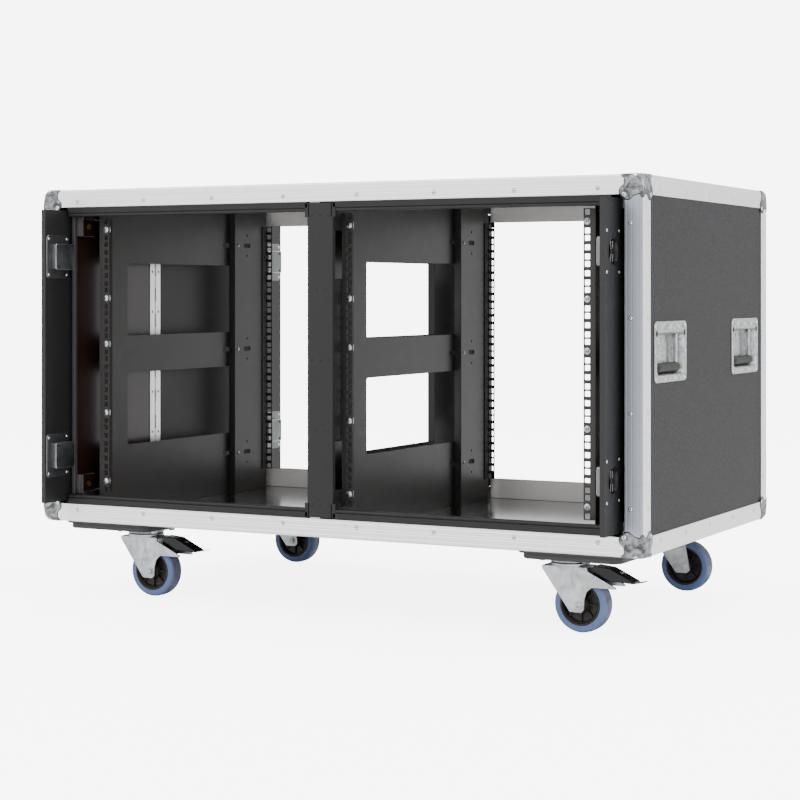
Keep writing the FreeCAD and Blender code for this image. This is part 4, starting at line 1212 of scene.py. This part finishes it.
def make_hardware(sizes):
    """Latch plates with raised bridges inside, rivets and dish cups outside, and the hinge."""
    for door in DOORS:
        place, thick = door_place(door)
        back = place.inverted()
        piece = Piece(f"{door}_latches_and_hinge")
        wing_low, wing_high = (back @ c for c in span(f"{door}_upper_latch_wing"))
        level = (wing_low.y + wing_high.y) / 2
        for z in (1, -1):
            level_place = place @ Matrix.Diagonal((1, z, 1, 1))
            spot = level_place @ lay((LATCH_INSET, level, -thick), X, Y,
                                                               -Z)
            outline = rounded(rectangle((-34.5, -41.5), (34.5, 41.5)), [8, 8, 8, 8], 6)
            # The plate's face is dark zinc as a painted reflection; its walls take bright zinc as a
            # painted highlight along the edge.
            piece.add(plate(outline, 1.2, (), 0.35), "shade_and_sheen_zinc", spot, "bright_zinc")
            bridge = [rounded(rectangle((-21 + s, -25 + s), (36 - s * 0.3, 25 - s)), 4 + s, 6)
                      for s in (0, 0.1, 0.5, 1.4)]
            rings = [[p + Z * h for p in ring] for ring, h in zip(bridge, (1.0, 11.8, 12.6, 13.0))]
            # The bridge is dark zinc as a painted reflection; the walls of its rounded top take
            # bright zinc as a painted highlight.
            piece.add(loft(rings[:2], True), "shade_and_sheen_zinc", spot)
            piece.add(loft(rings[1:]), "shade_and_sheen_zinc", spot, "bright_zinc")
            # Painted shade: the slots in the bridge top are flat dark marks.
            for v in (-19, 19):
                piece.add(plate(slot_outline((-12, v), 9, 4.6), 0.12, (), 0), "painted_shade_hole",
                          spot @ Matrix.Translation((0, 0, 12.95)))
            for u, v in ((-28, -34.5), (28, -34.5), (-28, 34.5), (28, 34.5)):
                rivet(piece, spot @ Matrix.Translation((u, v, 1.1)), 3.6, 1.1)
                outside = level_place @ Matrix.Translation((LATCH_INSET + u, level + v, 0))
                rivet(piece, outside, 3.6, 0.7)
            cup = level_place @ Matrix.Translation((LATCH_INSET, level, 0))
            piece.add(lathe([(21.9, -6.2), (21.9, 0.1), (24.6, 0.1), (24.4, 0.5), (22.4, 0.7),
                             (21.2, 0.2),
                             (20.6, -1.6), (19.4, -5.6), (18.0, -6.2)], 48, True), "gloss_black",
                      cup)
        hinge_low, hinge_high = (back @ c for c in span(f"{door}_door_hardware"))
        fold = max(hinge_low.x, hinge_high.x) - 18.0
        tall = abs(hinge_high.y - hinge_low.y) / 2
        for side in (-1, 1):
            u0, u1 = sorted((fold + side * 1.6, fold + side * 18))
            outline = rounded(rectangle((u0, -tall), (u1, tall)), 0.8, 2)
            leaf_place = place @ Matrix.Translation((0, 0, -thick - 1.2))
            piece.add(plate(outline, 1.2, (), 0.3), "along_x", leaf_place)
            count = round(2 * tall / 83)
            for step in range(count + 1):
                high = -tall + 14 + (2 * tall - 28) * step / count
                screw(piece, place @ lay((fold + side * 10.5, high, -thick - 1.1), X, Y, -Z), 2.9,
                      0.8)
        count = round(2 * tall / 26)
        for step in range(count):
            start = -tall + 2 * tall * step / count
            end = -tall + 2 * tall * (step + 1) / count - 0.7
            bar = lathe([(0, start), (2.5, start), (2.9, start + 0.5), (2.9, end - 0.5), (2.5, end),
                         (0, end)], 16)
            piece.add(bar, "along_x" if step % 2 else "bright_zinc",
                      place @ lay((fold, 0, -thick), X, -Z, Y))
        piece.put(f"{door}_door", "zinc_steel", f"{door}_door_hardware")


def make_wings(sizes):
    """Butterfly wings in the dishes, with their stems and hooks."""
    for door in DOORS:
        place = door_place(door)[0]
        back = place.inverted()
        for level in ("upper", "lower"):
            node = f"{door}_{level}_latch_wing"
            low, high = (back @ c for c in span(node))
            middle = (low.y + high.y) / 2
            deep = min(low.z, high.z)
            spot = place @ Matrix.Translation((LATCH_INSET, middle, 0))
            piece = Piece(f"{door}_{level}_butterfly")
            wing = [(3.4, 0), (2.6, 6), (4.4, 13), (3.4, 18), (-3.4, 18), (-4.4, 13), (-2.6, 6),
                    (-3.4, 0),
                     (-2.6, -6), (-4.4, -13), (-3.4, -18), (3.4, -18), (4.4, -13), (2.6, -6)]
            # The wing's walls take the dark zinc, lighter than the black: a painted highlight along
            # its edge.
            piece.add(plate(rounded(wing, [0, 4, 3, 2, 2, 3, 4, 0, 4, 3, 2, 2, 3, 4], 4), 1.6, (),
                            0.5),
                      "gloss_black", spot @ Matrix.Translation((0, 0, -4.6)), "shade_and_sheen_zinc")
            piece.add(lathe([(0, -6.1), (5.2, -6.1), (5.2, -4.6), (4.4, -2.6), (2.8, -1.6),
                             (0, -1.4)], 24),
                      "gloss_black", spot)
            for side in (1, -1):
                piece.add(brick((-1.0, side * 11 - 6.5, -3.4), (1.0, side * 11 + 6.5, -0.6), 0.5),
                          "shade_and_sheen_zinc", spot)
            piece.add(lathe([(0, deep), (3.8, deep), (3.8, -5.8), (0, -5.8)], 20), "bright_zinc",
                      spot)
            piece.add(brick((-4.4, -4.4, deep), (13.4, 4.4, deep + 4.8), 0.8), "mottled_zinc", spot)
            piece.put(f"{door}_{level}_latch", "zinc_steel", node)


def make_trays(sizes):
    """Pressed handle trays with a drawn bowl, dimples and rivets."""
    piece = Piece("handle_tray_pressings")
    round_tray, draft = sizes.tray_round / MM, sizes.bowl_draft / MM
    for low, high in islands("handle_trays"):
        hand = 1 if low.x > 0 else -1
        face = high.x if hand > 0 else low.x
        deep = high.x - low.x
        spot = lay((face - hand * 1.2, (low.y + high.y) / 2, (low.z + high.z) / 2), Y, Z, X * hand)
        wide, tall = (high.y - low.y) / 2, (high.z - low.z) / 2
        mouth_wide, mouth_low, mouth_high = wide - 12.5, tall - 12.5, tall - 20
        mouth = rounded(rectangle((-mouth_wide, -mouth_low), (mouth_wide, mouth_high)), 9, 6)
        outline = rounded(rectangle((-wide, -tall), (wide, tall)), round_tray, 7)
        # The tray's outer and mouth walls take the dark zinc: a painted shade outline.
        piece.add(plate(outline, 1.2, [mouth], 0.5), "tray_zinc", spot, "shade_and_sheen_zinc")
        rings = []
        for share, depth in ((0, 1.15), (0.12, 0.2), (0.3, -3), (0.75, -deep + 6),
                             (0.9, -deep + 3.2),
                             (1.25, -deep + 2.4)):
            inset = draft * share
            ring = rounded(rectangle((-mouth_wide + inset, -mouth_low + inset),
                                     (mouth_wide - inset, mouth_high - inset)), 9, 6)
            rings.append([p + Z * depth for p in ring])
        points, faces = loft(rings)
        faces.pop(-2)
        piece.add((points, faces), "tray_zinc", spot)
        for u in (-1, 1):
            boss = spot @ lay((u * (mouth_wide - 3.2), 30, -9.8), X * -u, Y, Z)
            piece.add(lathe([(0, 0), (6.4, 0), (6.4, 1.2), (5.4, 2.2), (4.6, 2.2), (4.6, 0.4),
                             (0, 0.4)], 24),
                      "mottled_zinc", boss @ lay((0, 0, 0), Y, Z, X))
            # Painted shade: a hole drawn as a flat dark disc inside a zinc ring.
            dark = spot @ Matrix.Translation((u * (mouth_wide + 1.5), 31.5, 1.22))
            piece.add(lathe([(0, -0.3), (5.6, -0.3), (5.6, 0), (0, 0)], 28), "painted_shade_hole", dark)
            piece.add(lathe([(5.4, -0.2), (5.6, 0.12), (6.4, 0.12), (6.8, -0.2)], 28, True),
                      "bright_zinc", dark)
        for step in range(7):
            u = (step - 3) * (wide - 14) / 3.2
            if step % 2:
                rivet(piece, spot @ Matrix.Translation((u, tall - 10, 0.8)), 3.3, 0.9)
            else:
                piece.add(lathe([(0, 0.5), (3, 0.45), (4.6, 0.1), (5.2, 0)], 20), "mottled_zinc",
                          spot @ Matrix.Translation((u, tall - 10, 1.15)))
        for u in (-1, 1):
            rivet(piece, spot @ Matrix.Translation((u * (wide - 6), tall - 8, 0.8)), 3.6, 0.9)
            rivet(piece, spot @ Matrix.Translation((u * (wide - 5.2), 0, 0.8)), 3.4, 0.9)
        for step in range(4):
            u = (step - 1.5) * (wide - 9) / 1.5
            rivet(piece, spot @ Matrix.Translation((u, -tall + 6, 0.8)), 3.4, 0.9)
        for step in (-1, 0, 1):
            piece.add(lathe([(0, 0.9), (2.6, 0.7), (4.2, 0.15), (5, -0.1)], 20), "mottled_zinc",
                      spot @ Matrix.Translation((step * 24 + 6, mouth_high - 13, -deep + 2.4)))
    piece.put("case", "zinc_steel", "handle_trays")


def make_bails(sizes):
    """Sprung handle bows with a soft round grip."""
    waist = sizes.grip_waist / MM
    for side in DOORS:
        node = f"{side}_handle_bail"
        low, high = span(node)
        centre = Vector(((low.x + high.x) / 2, (low.y + high.y) / 2, 0))
        rod, grip = 4.0, (high.x - low.x) / 2
        bottom, top = low.z + grip, high.z - rod
        half = (high.y - low.y) / 2
        reach = 52.0
        path = rounded([centre + Vector((0, v, z)) for v, z in
                        ((-half, top), (-reach, top), (-reach, bottom), (reach, bottom),
                         (reach, top),
                         (half, top))], [0, 5, 6, 6, 5, 0], 6, False)
        piece = Piece(f"{side}_handle_bow")
        piece.add(tube(path, rod, 16), "bright_zinc")
        profile = [(0, -reach - 4.6), (4.2, -reach - 4.6), (grip - 2.6, -reach - 3.4),
                   (grip - 0.6, -reach - 0.6),
                   (grip, -reach + 4)]
        for step in range(1, 10):
            along = -reach + 4 + (2 * reach - 8) * step / 10
            profile.append((grip - waist * math.sin(math.pi * step / 10), along))
        profile += [(r, -h) for r, h in profile[:5][::-1]]
        piece.add(lathe(profile, 32), "grip_rubber",
                  facing(Vector((centre.x, centre.y, bottom)), Y))
        # Painted shade: dark bands near the ends of the grip.
        for v in (-1, 1):
            ring = facing(Vector((centre.x, centre.y + v * (reach - 7), bottom)), Y)
            piece.add(lathe([(grip - 0.4, -0.8), (grip - 0.05, -0.8), (grip - 0.05, 0.8),
                             (grip - 0.4, 0.8)],
                            32, True), "painted_shade_hole", ring)
        piece.put(f"{side}_handle", "black_rubber", node)


def make_boards(sizes):
    """Two-layer wheel boards with rounded corners."""
    step = sizes.board_step / MM
    piece = Piece("wheel_board_layers")
    for low, high in islands("wheel_boards"):
        if (high - low).x < 100:
            continue
        top = high.z - low.z
        wide, deep = high.x - low.x, high.y - low.y
        outline = rounded(rectangle((0, 0), (wide, deep)), 25, 10)
        piece.add(plate(outline, 4.4, (), 0.8), "board_black",
                  Matrix.Translation((low.x, low.y, high.z - 4.4)))
        outline = rounded(rectangle((step, step), (wide - step, deep - step)), 20, 10)
        piece.add(plate(outline, top - 4.2, (), 1.4), "board_black",
                  Matrix.Translation((low.x, low.y, low.z)))
    piece.put("case", "black_ply", "wheel_boards")


def make_castor_plates(sizes):
    """Top plates of the castors with their bolts."""
    piece = Piece("castor_top_plates")
    for low, high in islands("castor_plates"):
        outline = rounded(rectangle(low, high), 7, 6)
        piece.add(plate([Vector((p.x, p.y, 0)) for p in outline], high.z - low.z, (), 0.7),
                  "bright_zinc",
                  Matrix.Translation((0, 0, low.z)))
    piece.put("case", "zinc_steel", "castor_plates")
    piece = Piece("castor_plate_bolts")
    for low, high in islands("castor_bolts"):
        middle = (low + high) / 2
        hex_bolt(piece, facing(Vector((middle.x, middle.y, high.z)), -Z), high.x - low.x,
                 high.z - low.z,
                 (high.x - low.x) / 2)
    piece.put("case", "zinc_steel", "castor_bolts")


BRAKED_CHEEK = ((-17, -13), (5, -14), (10, -8), (11, 10), (15, 23), (24, 31), (68, 31), (70, 34),
                (16, 60), (16, 66), (-69, 66), (-69, 60))
PLAIN_CHEEK = ((-15, -13), (8, -13), (14, -7), (4, 50), (4, 66), (-69, 66), (-69, 60))
CHEEK_ROUND = {True: (5, 6, 5, 3, 8, 7, 2, 2, 4, 1, 1, 3), False: (5, 6, 4, 6, 1, 1, 3)}


def wheel_spot(side):
    """The middle of a wheel's axle."""
    low, high = span(f"{side}_tyre")
    return (low + high) / 2


def make_forks(sizes):
    """Castor forks: stepped bearing cup, crown, folded cheeks and the axle bolt."""
    for side in DOORS:
        braked = "front" in side
        axle = wheel_spot(side)
        cup_top = span(f"{side}_castor_fork")[1].z
        swivel = axle.x - SWIVEL_BEHIND_AXLE
        points = BRAKED_CHEEK if braked else PLAIN_CHEEK
        piece = Piece(f"{side}_fork_pressing")
        for y in (-1, 1):
            outline = rounded([(a, b) for a, b in points], list(CHEEK_ROUND[braked]), 5)
            spot = lay((axle.x, axle.y + y * CHEEK_INSIDE, axle.z), X, Z, Y * y)
            # The cheek walls take the dark zinc: a painted shade outline.
            piece.add(plate(outline, CHEEK_SHEET, (), 0.8), "bright_zinc", spot, "shade_and_sheen_zinc")
            face = spot @ Matrix.Translation((0, 0, CHEEK_SHEET))
            hex_bolt(piece, face, 12, 4.0, 8.2)
            crease = [Vector((-24 + 0.28 * h, h, 0.05)) for h in (58, 30, 6)]
            piece.add(tube(crease, 0.5, 8), "bright_zinc", face)
            if braked:
                rivet(piece, face @ Matrix.Translation((30, 50, -0.2)), 3.6, 1.6)
            else:
                rivet(piece, face @ Matrix.Translation((-44, 55, -0.3)), 3.0, 1.0)
        right = 16 if braked else 4
        crown_top = axle.z + CROWN_ABOVE_AXLE
        crown = rounded(rectangle((-69, -23.4), (right, 23.4)), [10, 3, 3, 10], 5)
        piece.add(plate(crown, 3, (), 0.8), "bright_zinc",
                  Matrix.Translation((axle.x, axle.y, crown_top - 3)))
        for points_in in ([(0, crown_top - 0.5), (33.6, crown_top - 0.5), (34.6, crown_top + 1.2),
                           (34.6, crown_top + 4.6), (33.2, crown_top + 5.6), (0, crown_top + 5.6)],
                          [(0, crown_top + 7.2), (34.4, crown_top + 7.2), (35, crown_top + 8),
                           (34.2, cup_top - 0.8), (33.2, cup_top), (0, cup_top)]):
            piece.add(lathe(points_in, sizes.round_steps), "bright_zinc",
                      Matrix.Translation((swivel, axle.y, 0)))
        # Painted shade: a dark band in the gap between the crown and the bearing cup.
        piece.add(lathe([(31, crown_top + 5), (31, crown_top + 8)], sizes.round_steps), "painted_shade_hole",
                  Matrix.Translation((swivel, axle.y, 0)))
        piece.add(lathe([(0, -CHEEK_INSIDE), (5.6, -CHEEK_INSIDE), (5.6, CHEEK_INSIDE),
                         (0, CHEEK_INSIDE)], 20), "mottled_zinc",
                  facing(axle, Y))
        piece.put(f"{side}_castor", "zinc_steel", f"{side}_castor_fork")


def make_wheels(sizes):
    """Elastic tyres on moulded hubs."""
    for side in DOORS:
        axle = wheel_spot(side)
        low, high = span(f"{side}_tyre")
        radius, half = (high.z - low.z) / 2, (high.y - low.y) / 2
        place = facing(axle, Y)
        wall = [(WHEEL_RIM, half - 0.6), (WHEEL_RIM + 0.8, half), (40.4, half), (40.8, half - 0.35),
                (41.4, half - 0.35), (41.8, half), (45.2, half - 0.3), (47.2, half - 1.6),
                (48.6, half - 3.6)]
        tread = [(48.6, half - 3.6), (49.5, half - 6.4), (49.9, half - 10.5), (radius, 0)]
        piece = Piece(f"{side}_elastic_tyre")
        for end in (1, -1):
            piece.add(loft([circle(r, (0, 0), sizes.round_steps, h * end) for r, h in wall], True),
                      "tyre_wall", place)
            piece.add(loft([circle(r, (0, 0), sizes.round_steps, h * end) for r, h in tread], True),
                      "tyre_tread", place)
        piece.add(loft([circle(WHEEL_RIM, (0, 0), sizes.round_steps, h)
                        for h in (-half + 0.6, half - 0.6)], True),
                  "tyre_wall", place)
        piece.put(f"{side}_wheel", "blue_rubber", f"{side}_tyre")

        piece = Piece(f"{side}_moulded_hub")
        for end in (1, -1):
            dish = [(WHEEL_RIM - 0.1, (half - 1.0) * end), (WHEEL_RIM - 0.1, (half + 0.2) * end),
                    (WHEEL_RIM - 1.6, (half + 0.6) * end), (WHEEL_RIM - 3.0, (half + 0.2) * end),
                    (WHEEL_RIM - 3.8, (half - 1.8) * end), (WHEEL_RIM - 5.5, (half - 3.0) * end),
                    (WHEEL_RIM - 7.5, (half - 9.0) * end), (16, (half - 10.5) * end),
                    (14.5, (half - 2.5) * end),
                    (12, (half + 1.6) * end), (6.2, (half + 2.0) * end)]
            piece.add(loft([circle(r, (0, 0), sizes.round_steps, h) for r, h in dish], True),
                      "hub_nylon",
                      place)
            for step in range(8):
                turn = Matrix.Rotation(math.tau * step / 8, 4, "Z")
                z0, z1 = sorted((end * (half - 11), end * (half - 5.0)))
                piece.add(brick((13, -1.2, z0), (WHEEL_RIM - 6, 1.2, z1), 0.5), "hub_nylon",
                          place @ turn)
        # Painted shade: a dark sleeve in the axle bore.
        piece.add(lathe([(6.2, -half - 2), (6.2, half + 2)], 24), "painted_shade_hole", place)
        piece.put(f"{side}_wheel", "black_nylon", f"{side}_hub")


PEDAL_SIDE = ((23, 47), (22, 69), (54, 66), (99, 44.6), (100, 41), (62, 43), (40, 44))


def make_brakes(sizes):
    """Brake pedals with pressed ribs, a catch and a bright tip."""
    for side in ("front_left", "front_right"):
        axle = wheel_spot(side)
        piece = Piece(f"{side}_brake_lever")
        place = lay((axle.x, axle.y + 15, axle.z), X, Z, -Y)
        outline = rounded(PEDAL_SIDE, [3, 4, 6, 1, 2, 4, 2], 4)
        piece.add(plate(outline, 30, (), 1.2), "gloss_black", place)
        slope = Vector((46, 0, -22)).normalized()
        start = Vector((axle.x + 54, axle.y, axle.z + 66))
        up = slope.cross(Y).normalized()
        top = lay(start, slope, Y, up if up.z > 0 else -up)
        for v in (-8.5, 8.5):
            piece.add(brick((4, v - 1.6, -0.4), (42, v + 1.6, 0.7), 0.5), "gloss_black", top)
        piece.add(plate(rounded(rectangle((6, -3.4), (26, 3.4)), 2.5, 4), 0.9, (), 0.3),
                  "gloss_black", top)
        piece.add(brick((16, -6, 0.3), (22, 1, 2.2), 0.6), "bright_zinc", top)
        tip = [(92, 44.4), (100, 41.4), (115.6, 44.6), (115.6, 46), (100, 43.0), (92, 47.6)]
        piece.add(plate(rounded([(a, b) for a, b in tip], 0.4, 2), 22, (), 0.4), "bright_zinc",
                  lay((axle.x, axle.y + 11, axle.z), X, Z, -Y))
        piece.put(f"{side}_brake", "black_steel", f"{side}_brake_pedal")


def make_stage(sizes):
    """Pale floor, soft lights and the camera."""
    piece = bpy.data.meshes.new("pale_floor")
    half = 40.0
    piece.from_pydata([(-half, -half, 0), (half, -half, 0), (half, half, 0), (-half, half, 0)], [],
                      [(0, 1, 2, 3)])
    piece.materials.append(finish("pale_floor"))
    floor = bpy.data.objects.new("pale_floor", piece)
    bpy.context.scene.collection.objects.link(floor)

    world = bpy.data.worlds.new("studio")
    world.use_nodes = True
    tree, sky = world.node_tree, world.node_tree.nodes["Background"]
    sky.inputs["Color"].default_value = (1, 1, 1, 1)
    strength = tree.nodes.new("ShaderNodeMapRange")
    strength.inputs["To Min"].default_value, strength.inputs["To Max"].default_value = 1.5, 7.0
    path = tree.nodes.new("ShaderNodeLightPath")
    tree.links.new(path.outputs["Is Camera Ray"], strength.inputs["Value"])
    tree.links.new(strength.outputs["Result"], sky.inputs["Strength"])
    bpy.context.scene.world = world

    aim = Vector((0, 0, 0.45))
    for name, spot, size, power in (("key", (-2.2, -4.2, 3.4), 2.6, 130),
                                    ("side", (4.2, -1.2, 2.4), 2.4, 80),
                                    ("top", (0.2, 0.4, 4.2), 3.0, 90)):
        light = bpy.data.lights.new(name, "AREA")
        light.energy, light.size, light.shape = power, size, "SQUARE"
        lamp = bpy.data.objects.new(name, light)
        lamp.location = spot
        lamp.rotation_euler = (aim - Vector(spot)).to_track_quat("-Z", "Y").to_euler()
        bpy.context.scene.collection.objects.link(lamp)

    view = bpy.data.cameras.new("front_three_quarter")
    view.lens, view.sensor_width, view.shift_y = 88.8, 36.0, -0.1357
    camera = bpy.data.objects.new("front_three_quarter", view)
    camera.location = (1.7784, -3.4591, 0.5933)
    camera.rotation_euler = (math.radians(90), 0, math.radians(27.53))
    bpy.context.scene.collection.objects.link(camera)
    bpy.context.scene.camera = camera


class RACKCASE_OT_panels(bpy.types.Operator):
    """Coats the boards of the case and its doors"""

    bl_idname = "rack_case.panels"
    bl_label = "Boards"

    def execute(self, context):
        make_panels(context.scene.rack_case_sizes)
        return {"FINISHED"}


class RACKCASE_OT_edges(bpy.types.Operator):
    """Makes the grooved aluminium edges"""

    bl_idname = "rack_case.edges"
    bl_label = "Aluminium edges"

    def execute(self, context):
        make_edges(context.scene.rack_case_sizes)
        return {"FINISHED"}


class RACKCASE_OT_corners(bpy.types.Operator):
    """Makes the pressed ball corners"""

    bl_idname = "rack_case.corners"
    bl_label = "Ball corners"

    def execute(self, context):
        make_corners(context.scene.rack_case_sizes)
        return {"FINISHED"}


class RACKCASE_OT_rivets(bpy.types.Operator):
    """Makes the rivets along the edges"""

    bl_idname = "rack_case.rivets"
    bl_label = "Edge rivets"

    def execute(self, context):
        make_rivets(context.scene.rack_case_sizes)
        return {"FINISHED"}


class RACKCASE_OT_frames(bpy.types.Operator):
    """Makes the lipped frame bars"""

    bl_idname = "rack_case.frames"
    bl_label = "Door frames"

    def execute(self, context):
        make_frames(context.scene.rack_case_sizes)
        return {"FINISHED"}


class RACKCASE_OT_posts(bpy.types.Operator):
    """Makes the folded centre posts"""

    bl_idname = "rack_case.posts"
    bl_label = "Centre posts"

    def execute(self, context):
        make_posts(context.scene.rack_case_sizes)
        return {"FINISHED"}


class RACKCASE_OT_rails(bpy.types.Operator):
    """Makes the square-holed rails"""

    bl_idname = "rack_case.rails"
    bl_label = "Rack rails"

    def execute(self, context):
        make_rails(context.scene.rack_case_sizes)
        return {"FINISHED"}


class RACKCASE_OT_plates(bpy.types.Operator):
    """Makes the sheets between the rails"""

    bl_idname = "rack_case.plates"
    bl_label = "Side plates"

    def execute(self, context):
        make_plates(context.scene.rack_case_sizes)
        return {"FINISHED"}


class RACKCASE_OT_screws(bpy.types.Operator):
    """Makes rail bolts, cage nuts and post screws"""

    bl_idname = "rack_case.screws"
    bl_label = "Screws"

    def execute(self, context):
        make_screws(context.scene.rack_case_sizes)
        return {"FINISHED"}


class RACKCASE_OT_slides(bpy.types.Operator):
    """Makes the channels of the door pockets"""

    bl_idname = "rack_case.slides"
    bl_label = "Pocket slides"

    def execute(self, context):
        make_slides(context.scene.rack_case_sizes)
        return {"FINISHED"}


class RACKCASE_OT_carriages(bpy.types.Operator):
    """Makes the door followers and their blocks"""

    bl_idname = "rack_case.carriages"
    bl_label = "Follower boards"

    def execute(self, context):
        make_carriages(context.scene.rack_case_sizes)
        return {"FINISHED"}


class RACKCASE_OT_hardware(bpy.types.Operator):
    """Makes the latches and the piano hinges"""

    bl_idname = "rack_case.hardware"
    bl_label = "Latches and hinges"

    def execute(self, context):
        make_hardware(context.scene.rack_case_sizes)
        return {"FINISHED"}


class RACKCASE_OT_wings(bpy.types.Operator):
    """Makes the turning wings of the latches"""

    bl_idname = "rack_case.wings"
    bl_label = "Butterfly wings"

    def execute(self, context):
        make_wings(context.scene.rack_case_sizes)
        return {"FINISHED"}


class RACKCASE_OT_trays(bpy.types.Operator):
    """Makes the pressed handle trays"""

    bl_idname = "rack_case.trays"
    bl_label = "Handle trays"

    def execute(self, context):
        make_trays(context.scene.rack_case_sizes)
        return {"FINISHED"}


class RACKCASE_OT_bails(bpy.types.Operator):
    """Makes the handle bows and grips"""

    bl_idname = "rack_case.bails"
    bl_label = "Handle bows"

    def execute(self, context):
        make_bails(context.scene.rack_case_sizes)
        return {"FINISHED"}


class RACKCASE_OT_boards(bpy.types.Operator):
    """Makes the two-layer wheel boards"""

    bl_idname = "rack_case.boards"
    bl_label = "Wheel boards"

    def execute(self, context):
        make_boards(context.scene.rack_case_sizes)
        return {"FINISHED"}


class RACKCASE_OT_castor_plates(bpy.types.Operator):
    """Makes the castor plates and bolts"""

    bl_idname = "rack_case.castor_plates"
    bl_label = "Castor plates"

    def execute(self, context):
        make_castor_plates(context.scene.rack_case_sizes)
        return {"FINISHED"}


class RACKCASE_OT_forks(bpy.types.Operator):
    """Makes the castor forks"""

    bl_idname = "rack_case.forks"
    bl_label = "Castor forks"

    def execute(self, context):
        make_forks(context.scene.rack_case_sizes)
        return {"FINISHED"}


class RACKCASE_OT_wheels(bpy.types.Operator):
    """Makes the tyres and hubs"""

    bl_idname = "rack_case.wheels"
    bl_label = "Wheels"

    def execute(self, context):
        make_wheels(context.scene.rack_case_sizes)
        return {"FINISHED"}


class RACKCASE_OT_brakes(bpy.types.Operator):
    """Makes the brake pedals"""

    bl_idname = "rack_case.brakes"
    bl_label = "Brake pedals"

    def execute(self, context):
        make_brakes(context.scene.rack_case_sizes)
        return {"FINISHED"}


class RACKCASE_OT_stage(bpy.types.Operator):
    """Makes the floor, the lights and the camera"""

    bl_idname = "rack_case.stage"
    bl_label = "Stage"

    def execute(self, context):
        make_stage(context.scene.rack_case_sizes)
        return {"FINISHED"}


OPERATORS = (
    RACKCASE_OT_panels, RACKCASE_OT_edges, RACKCASE_OT_corners, RACKCASE_OT_rivets,
    RACKCASE_OT_frames, RACKCASE_OT_posts, RACKCASE_OT_rails, RACKCASE_OT_plates,
    RACKCASE_OT_screws, RACKCASE_OT_slides, RACKCASE_OT_carriages, RACKCASE_OT_hardware,
    RACKCASE_OT_wings, RACKCASE_OT_trays, RACKCASE_OT_bails, RACKCASE_OT_boards,
    RACKCASE_OT_castor_plates, RACKCASE_OT_forks, RACKCASE_OT_wheels, RACKCASE_OT_brakes,
    RACKCASE_OT_stage)


class RACKCASE_PT_sidebar(bpy.types.Panel):
    """Lists the steps and the sizes they use."""

    bl_label = "Rack Case"
    bl_idname = "RACKCASE_PT_sidebar"
    bl_space_type = "VIEW_3D"
    bl_region_type = "UI"
    bl_category = "Rack Case"

    def draw(self, context):
        for group in (context.scene.rack_case_sizes, context.scene.rack_case_colours):
            for name in group.__annotations__:
                self.layout.prop(group, name)
        for made in OPERATORS:
            self.layout.operator(made.bl_idname)


CLASSES = [RackCaseSizes, RackCaseColours, *OPERATORS, RACKCASE_PT_sidebar]


def register():
    for made in CLASSES:
        bpy.utils.register_class(made)
    bpy.types.Scene.rack_case_sizes = PointerProperty(type=RackCaseSizes)
    bpy.types.Scene.rack_case_colours = PointerProperty(type=RackCaseColours)


def unregister():
    del bpy.types.Scene.rack_case_colours
    del bpy.types.Scene.rack_case_sizes
    for made in reversed(CLASSES):
        bpy.utils.unregister_class(made)


def main():
    register()
    for made in OPERATORS:
        getattr(bpy.ops.rack_case, made.bl_idname.split(".")[1])()
    bpy.context.view_layer.update()


if __name__ == "__main__":
    main()
